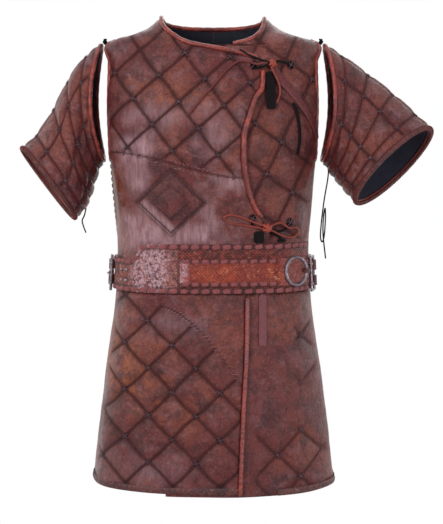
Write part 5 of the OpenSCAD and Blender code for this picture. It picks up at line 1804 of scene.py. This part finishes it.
class TUNIC_OT_sleeves(bpy.types.Operator):
    """Makes the quilted sleeves, their linings, pipings, bindings, knots and shoulder laces"""

    bl_idname = "tunic.sleeves"
    bl_label = "Sleeves"

    def execute(self, context):
        for side, name in SIDES:
            body, title = f"sleeve_{name}", f"Sleeve{name.title()}"
            self.add_leather(side, body, title)
            self.add_lining(side, body, title, f"sleeve_lining_{name}")
            self.add_trim(side, body, title, f"sleeve_trim_{name}")
            self.add_shoulder_lace(side, name)
        return {"FINISHED"}

    def add_leather(self, side, body, title):
        a, t = np.meshgrid(np.linspace(0, 360, 216, endpoint=False), np.linspace(0, 1, 100))
        across, along = (a - FIRST_A) * DEG_RUN, (t - FIRST_T) * SLEEVE_RUN
        pitches, sway = (PITCH_A * DEG_RUN, PITCH_T * SLEEVE_RUN), sleeve_sway(side, a, t)
        gap_a, gap_t = (np.abs(past_line(run + sway, pitch)) for run, pitch in zip((across, along), pitches))
        near_a, near_t = (past_line(run, pitch) for run, pitch in zip((across, along), pitches))
        zone = smooth(0.0, 0.05, t) * smooth(1.0, 0.96, t)
        relief, crease, worn = quilted(np.minimum(gap_a, gap_t), np.hypot(near_a, near_t),
                                       np.arctan2(near_t, near_a), zone, across, along, 53 + side)
        edge = np.minimum(t, 1 - t) * SLEEVE_RUN
        high = SLEEVE_LEATHER * (1 - 0.4 * bell(edge, 1.6)) + np.maximum(relief, -2.0) * smooth(0, 9, edge)
        outer, inner = (sleeve_skin(side, a, t, off)[0] for off in (high, 0))
        # Painted shade in the grooves on both faces, and wear with painted sheen on the outer face.
        marks = {**faced(1, crease=crease), **faced(worn=worn)}
        made = add_piece(title + "Leather", shell(outer, inner, True, side > 0), "sleeve leather", body,
                         "sleeve_leather", body, marks=marks)
        paths = []
        for k in range(8):
            line_a, line_t = np.full(40, FIRST_A + PITCH_A * k), np.linspace(0.03, 0.97, 40)
            paths.append((line_a - sleeve_sway(side, line_a, line_t) / DEG_RUN, line_t))
        for k in (1, 3, 5, 7):
            line_a, line_t = np.linspace(0, 360, 160), np.full(160, k / 8)
            paths.append((line_a, line_t - sleeve_sway(side, line_a, line_t) / SLEEVE_RUN))
        last, cols = len(t) - 1, a.shape[1]
        grooves = []
        for line_a, line_t in paths:
            row, col = np.round(line_t * last).astype(int), np.round(line_a * cols / 360).astype(int) % cols
            grooves.append(np.concatenate(sleeve_skin(side, line_a, line_t, high[row, col]), axis=1))
        add_quilting(title + "Leather", grooves, body)

    def add_lining(self, side, body, title, node):
        a, t = np.meshgrid(np.linspace(0, 360, 96, endpoint=False), np.linspace(0, 1, 44))
        outer, inner = (sleeve_skin(side, a, t, off)[0] for off in (-0.6, -0.6 - LINING))
        made = add_piece(title + "Lining", shell(outer, inner, True, side > 0), "lining cloth", body,
                         "lining", node)

    def add_trim(self, side, body, title, node):
        a = np.arange(0, 360, 2.5)
        for part, end, out, material, *nodes in (("Piping", 0.0, ROLL_OUT, "glossy piping", node),
                                                 ("Binding", 1.0, 0.8 - PIPING_OUT, "binding")):
            edge, normals = sleeve_skin(side, a, end, SLEEVE_LEATHER / 2)
            path = beside(edge, normals, out * side, True)
            add_piece(title + part, rolled(path, normals, PIPING_R, True), material, body, "piping", *nodes)
        self.whip_cuff(side, body, title, path, normals)
        inner = tube(sleeve_skin(side, a, 1.0, -1.7)[0], normals, 1.8, 1.8, 8, closed=True)
        add_piece(title + "InnerEdge", inner, "orange thong", body, "piping")
        rng = default_rng(57 + side)
        off = SLEEVE_LEATHER - 1.4
        places = [self.frame_at(side, FIRST_A + PITCH_A * i, k / 8, off, rng.uniform(-20, 20))
                  for i in range(8) for k in (1, 3, 5, 7)]
        add_knots(title + "Knots", places, body)

    def whip_cuff(self, side, body, title, path, normals):
        """A thread wound over the cuff's binding."""
        path, normals = even_frames(path, normals, 4.2, True)
        rng, wraps = default_rng(59 + side), []
        turns, lean = np.radians(np.linspace(-80, 190, 9))[:, None], np.linspace(-2.2, 2.2, 9)[:, None]
        for middle, n, x in zip(path, normals, directions(path, True)):
            y = np.cross(n, x) * side
            out = (PIPING_R + 0.5) * (np.cos(turns) * n + np.sin(turns) * y)
            out = out + lean * (1 + rng.uniform(-0.5, 0.5)) * x
            wraps.append(tube(middle + out, out, 0.7, 0.6, 5))
        add_piece(title + "Whipping", joined(wraps), "whip thread", body, "knot_thread")

    def frame_at(self, side, a, t, off, turn, scale=0.92):
        """Origin and directions of a small part on a sleeve."""
        origin, n = sleeve_skin(side, a, t, off)
        low, high = (sleeve_skin(side, a, at, off)[0] for at in (max(0, t - 0.02), min(1, t + 0.02)))
        y = unit(high - low)
        return origin, *turned(np.cross(y, n), y, turn), n, scale

    def add_shoulder_lace(self, side, name):
        """A thin lace wound many times round the two pipings at the shoulder's tip, with a knot on top."""
        middle = np.array([side * LACE_AT[0], 0, LACE_AT[1]])
        a = np.linspace(0, 2 * np.pi * 9, 9 * 18)
        rng = default_rng(58 + side)
        size = 3.1 + 0.35 * np.interp(a, np.linspace(0, a[-1], 24), rng.uniform(-1, 1, 24))
        out = np.stack([size * np.cos(a), 0 * a, size * np.sin(a)], axis=-1)
        coil = middle + out + np.outer(np.linspace(-15, 15, len(a)), [0, 1, 0])
        parts = [tube(coil, unit(out), 1.5, 0.8, 6)]
        b = np.radians(np.arange(0, 360, 20))
        for tilt in np.radians((25, -30)):
            flat = np.cos(b)
            loop = [2.6 * flat * np.cos(tilt), 4.4 * np.sin(b), 5.4 + 1.6 * flat * np.sin(tilt)]
            parts.append(tube(middle + np.stack(loop, axis=-1), UP, 1.1, 1.1, 8, closed=True))
        parts.append(tube(middle + np.outer(np.linspace(-16, 16, 9), [0, 1, 0]), UP, 2.5, 2.5, 10))
        lace = f"shoulder_lace_{name}"
        add_piece(f"Shoulder{name.title()}Lace", joined(parts), "black leather", lace, "lacing", lace)


# The side edges of two of the skirt's flaps, as functions of the height.
SKIRT_OVER_EDGES = (steady(-90 + SEAM_DEG), over_edge_f)
SKIRT_BACK_EDGES = (steady(90 + SEAM_DEG), steady(270 - SEAM_DEG))


class TUNIC_OT_skirt(bpy.types.Operator):
    """Makes the three skirt flaps with their bindings, piping, stitches and knots"""

    bl_idname = "tunic.skirt"
    bl_label = "Skirt"

    def execute(self, context):
        self.add_over()
        self.add_under()
        lattice = back_lattice(SKIRT_BACK_PITCH, SKIRT_BACK_TOP, 16)
        back = Panel(self.rows(0), SKIRT_BACK_EDGES, no_lift, lattice, zone_skirt_back, 45)
        back.add("SkirtBackLeather", "skirt leather", "skirt_back", "skirt_back")
        self.add_bindings()
        self.add_piping()
        add_front_knots("SkirtOverKnots", SKIRT_OVER_LATTICE, 6, skirt_over_holds, over_lift, 65,
                        "skirt_over")
        add_front_knots("SkirtUnderKnots", SKIRT_UNDER_LATTICE, 5, skirt_under_holds, no_lift, 66,
                        "skirt_under")
        add_back_knots("SkirtBackKnots", SKIRT_BACK_PITCH, SKIRT_BACK_TOP, 8, -HEM_DROP + 20, 0.9, 67,
                       "skirt_back")
        self.add_seam_stitches()
        return {"FINISHED"}

    def rows(self, extra):
        return rows_between((-HEM_DROP - extra, 2.8), (-BELT_LOW - HINGE_GAP, 0))

    def add_over(self):
        over = Panel(self.rows(0), SKIRT_OVER_EDGES, over_lift, SKIRT_OVER_LATTICE, zone_skirt_over, 25)
        # The curved seam is sunk and darkened with painted shade.
        over.score(np.where(over.x > -90, over.z - skirt_seam_z(over.x), 99), 1.2, 2.6, 0.8, 2.2)
        # Orange-brown patches, the largest where a highlight falls: partly painted highlight.
        over.tan = over.spots((1, -160, -660, 52, 66), (0.5, -40, -700, 60, 60), (0.5, -190, -600, 30, 60))
        # Painted highlight: faint sheen spots.
        over.bloom = over.spots((0.35, -60, -560, 50, 20), (0.35, -120, -830, 70, 26))
        over.add("SkirtOverLeather", "skirt leather", "skirt_over", "skirt_over")

    def add_under(self):
        edges = (lambda z: angle_x(SKIRT_UNDER_X, z)), steady(90 - SEAM_DEG)
        under = Panel(self.rows(UNDER_HEM_EXTRA), edges, no_lift, SKIRT_UNDER_LATTICE, zone_skirt_under, 35)
        pressed = (1 - press_share(under.x, under.z)) * (under.z > -BELT_LOW - TAIL_L - 12)
        under.ease(smooth(over_x(under.z) + 10, over_x(under.z) + 24, under.x) * (1 - pressed))
        under.add("SkirtUnderLeather", "skirt leather", "skirt_under", "skirt_under")

    def add_bindings(self):
        """Strips round the hem with a whip stitch over their upper edge."""
        under_edges = (lambda z: angle_x(SKIRT_UNDER_X, z) * 7 / 13 + 90 * 6 / 13, steady(90 - SEAM_DEG))
        bindings = (("SkirtOver", "skirt_over", -HEM_DROP, SKIRT_OVER_EDGES, over_lift, 110),
                    ("SkirtUnder", "skirt_under", -HEM_DROP - UNDER_HEM_EXTRA, under_edges, no_lift, 110),
                    ("SkirtBack", "skirt_back", -HEM_DROP, SKIRT_BACK_EDGES, no_lift, 200))
        for name, body, low, (lo, hi), off, cols in bindings:
            f, z = grid_of(np.linspace(low, low + BINDING_H, 8), lo, hi, cols)
            edge = np.minimum(z - low, low + BINDING_H - z)
            under = off(f) + LEATHER + 0.5
            puckers = 0.5 * np.abs(np.sin(f * 0.75)) * smooth(0, 4, edge)
            outer = under + (1.6 * (0.5 + 0.5 * smooth(0, 3, edge)) + puckers)
            add_piece(name + "Binding", layer(f, z, under, outer), "binding", body, "piping", f"{body}_trim")
            places = []
            for v in np.arange(float(lo(low)) + 1.2, float(hi(low)) - 0.8, 2.4):
                lift = float(off(v)) + LEATHER
                places.append(place_on(v, low + BINDING_H - 1, lift + 1.2, 62))
                places.append(place_on(v + 1.2, low + BINDING_H * 0.45, lift + 2.0, 74, 0.8))
            add_stitches(name + "Whipping", (6.5, 0.6, 1.0), places, "thread", body, "knot_thread")

    def add_piping(self):
        """Rolled edge of the over flap, with light cross stitches on its upper part."""
        rows = np.arange(-HEM_DROP, SKIRT_PIPING_TOP, 3)
        path, normals = edge_path(over_edge_f, rows, piping_lift, PIPING_OUT, 1)
        add_piece("SkirtEdgePiping", rolled(path, normals, PIPING_R), "glossy piping", "skirt_over", "piping")
        places = []
        for k in range(8, len(path) - 2):
            if k > len(path) * 0.66 or k % 3 == 0:
                n, along = normals[k], unit(path[k + 1] - path[k - 1])
                x = unit(np.cross(along, n) + along * (0.5 if k % 2 else -0.1))
                places.append((path[k] + n * (PIPING_R - 0.6), x, np.cross(n, x), n, 0.9))
        add_stitches("SkirtEdgeStitches", (8, 0.7, 1.0), places, "pale thread", "skirt_over", "lacing")

    def add_seam_stitches(self):
        """Pale stitches along the curved seam of the over flap."""
        places = []
        for x in np.arange(-84, 42, 5.2):
            z = float(skirt_seam_z(x))
            slope = math.degrees(math.atan2(float(skirt_seam_z(x + 1)) - z, 1))
            places += [place_at(x, z + side, -0.1, slope + 50) for side in (-3.5, 3.5)]
        add_stitches("SkirtSeamStitches", (5, 0.55, 0.9), places, "pale thread", "skirt_over", "knot_thread")


class TUNIC_OT_belt_tail(bpy.types.Operator):
    """Makes the loose strap end under the belt"""

    bl_idname = "tunic.belt_tail"
    bl_label = "Belt tail"

    def execute(self, context):
        top = -BELT_LOW - HINGE_GAP
        add_tab("BeltTail", TAIL_X, top, top - TAIL_L, TAIL_HALF_W, no_lift, LEATHER + 0.7, 2.2, "tail strap",
                "belt_tail", "tail_leather", "belt_tail")
        return {"FINISHED"}


class TUNIC_PT_panel(bpy.types.Panel):
    bl_idname = "TUNIC_PT_panel"
    bl_label = "Leather armour tunic"
    bl_space_type = "VIEW_3D"
    bl_region_type = "UI"
    bl_category = "Tunic"

    def draw(self, context):
        for operator in OPERATORS:
            self.layout.operator(operator.bl_idname)
        for _, key in GROUPS:
            box = self.layout.box()
            group = getattr(context.scene, key)
            for name in group.__annotations__:
                box.prop(group, name)


GROUPS = ((TunicQuilting, "tunic_quilting"), (TunicLeather, "tunic_leather"), (TunicTrim, "tunic_trim"),
          (TunicStage, "tunic_stage"))
OPERATORS = (TUNIC_OT_finishes, TUNIC_OT_stage, TUNIC_OT_ties, TUNIC_OT_body_leather, TUNIC_OT_linings,
             TUNIC_OT_pipings, TUNIC_OT_body_trim, TUNIC_OT_tie_parts, TUNIC_OT_belt, TUNIC_OT_hardware,
             TUNIC_OT_sleeves, TUNIC_OT_skirt, TUNIC_OT_belt_tail)


def register():
    for group, key in GROUPS:
        bpy.utils.register_class(group)
        setattr(bpy.types.Scene, key, PointerProperty(type=group))
    for operator in OPERATORS:
        bpy.utils.register_class(operator)
    bpy.utils.register_class(TUNIC_PT_panel)


def unregister():
    bpy.utils.unregister_class(TUNIC_PT_panel)
    for operator in reversed(OPERATORS):
        bpy.utils.unregister_class(operator)
    for group, key in reversed(GROUPS):
        delattr(bpy.types.Scene, key)
        bpy.utils.unregister_class(group)


def plain(bounds):
    return [[round(float(v), 5) for v in corner] for corner in bounds]


def main():
    register()
    for operator in OPERATORS:
        group, name = operator.bl_idname.split(".")
        getattr(getattr(bpy.ops, group), name)()
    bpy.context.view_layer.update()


if __name__ == "__main__":
    main()
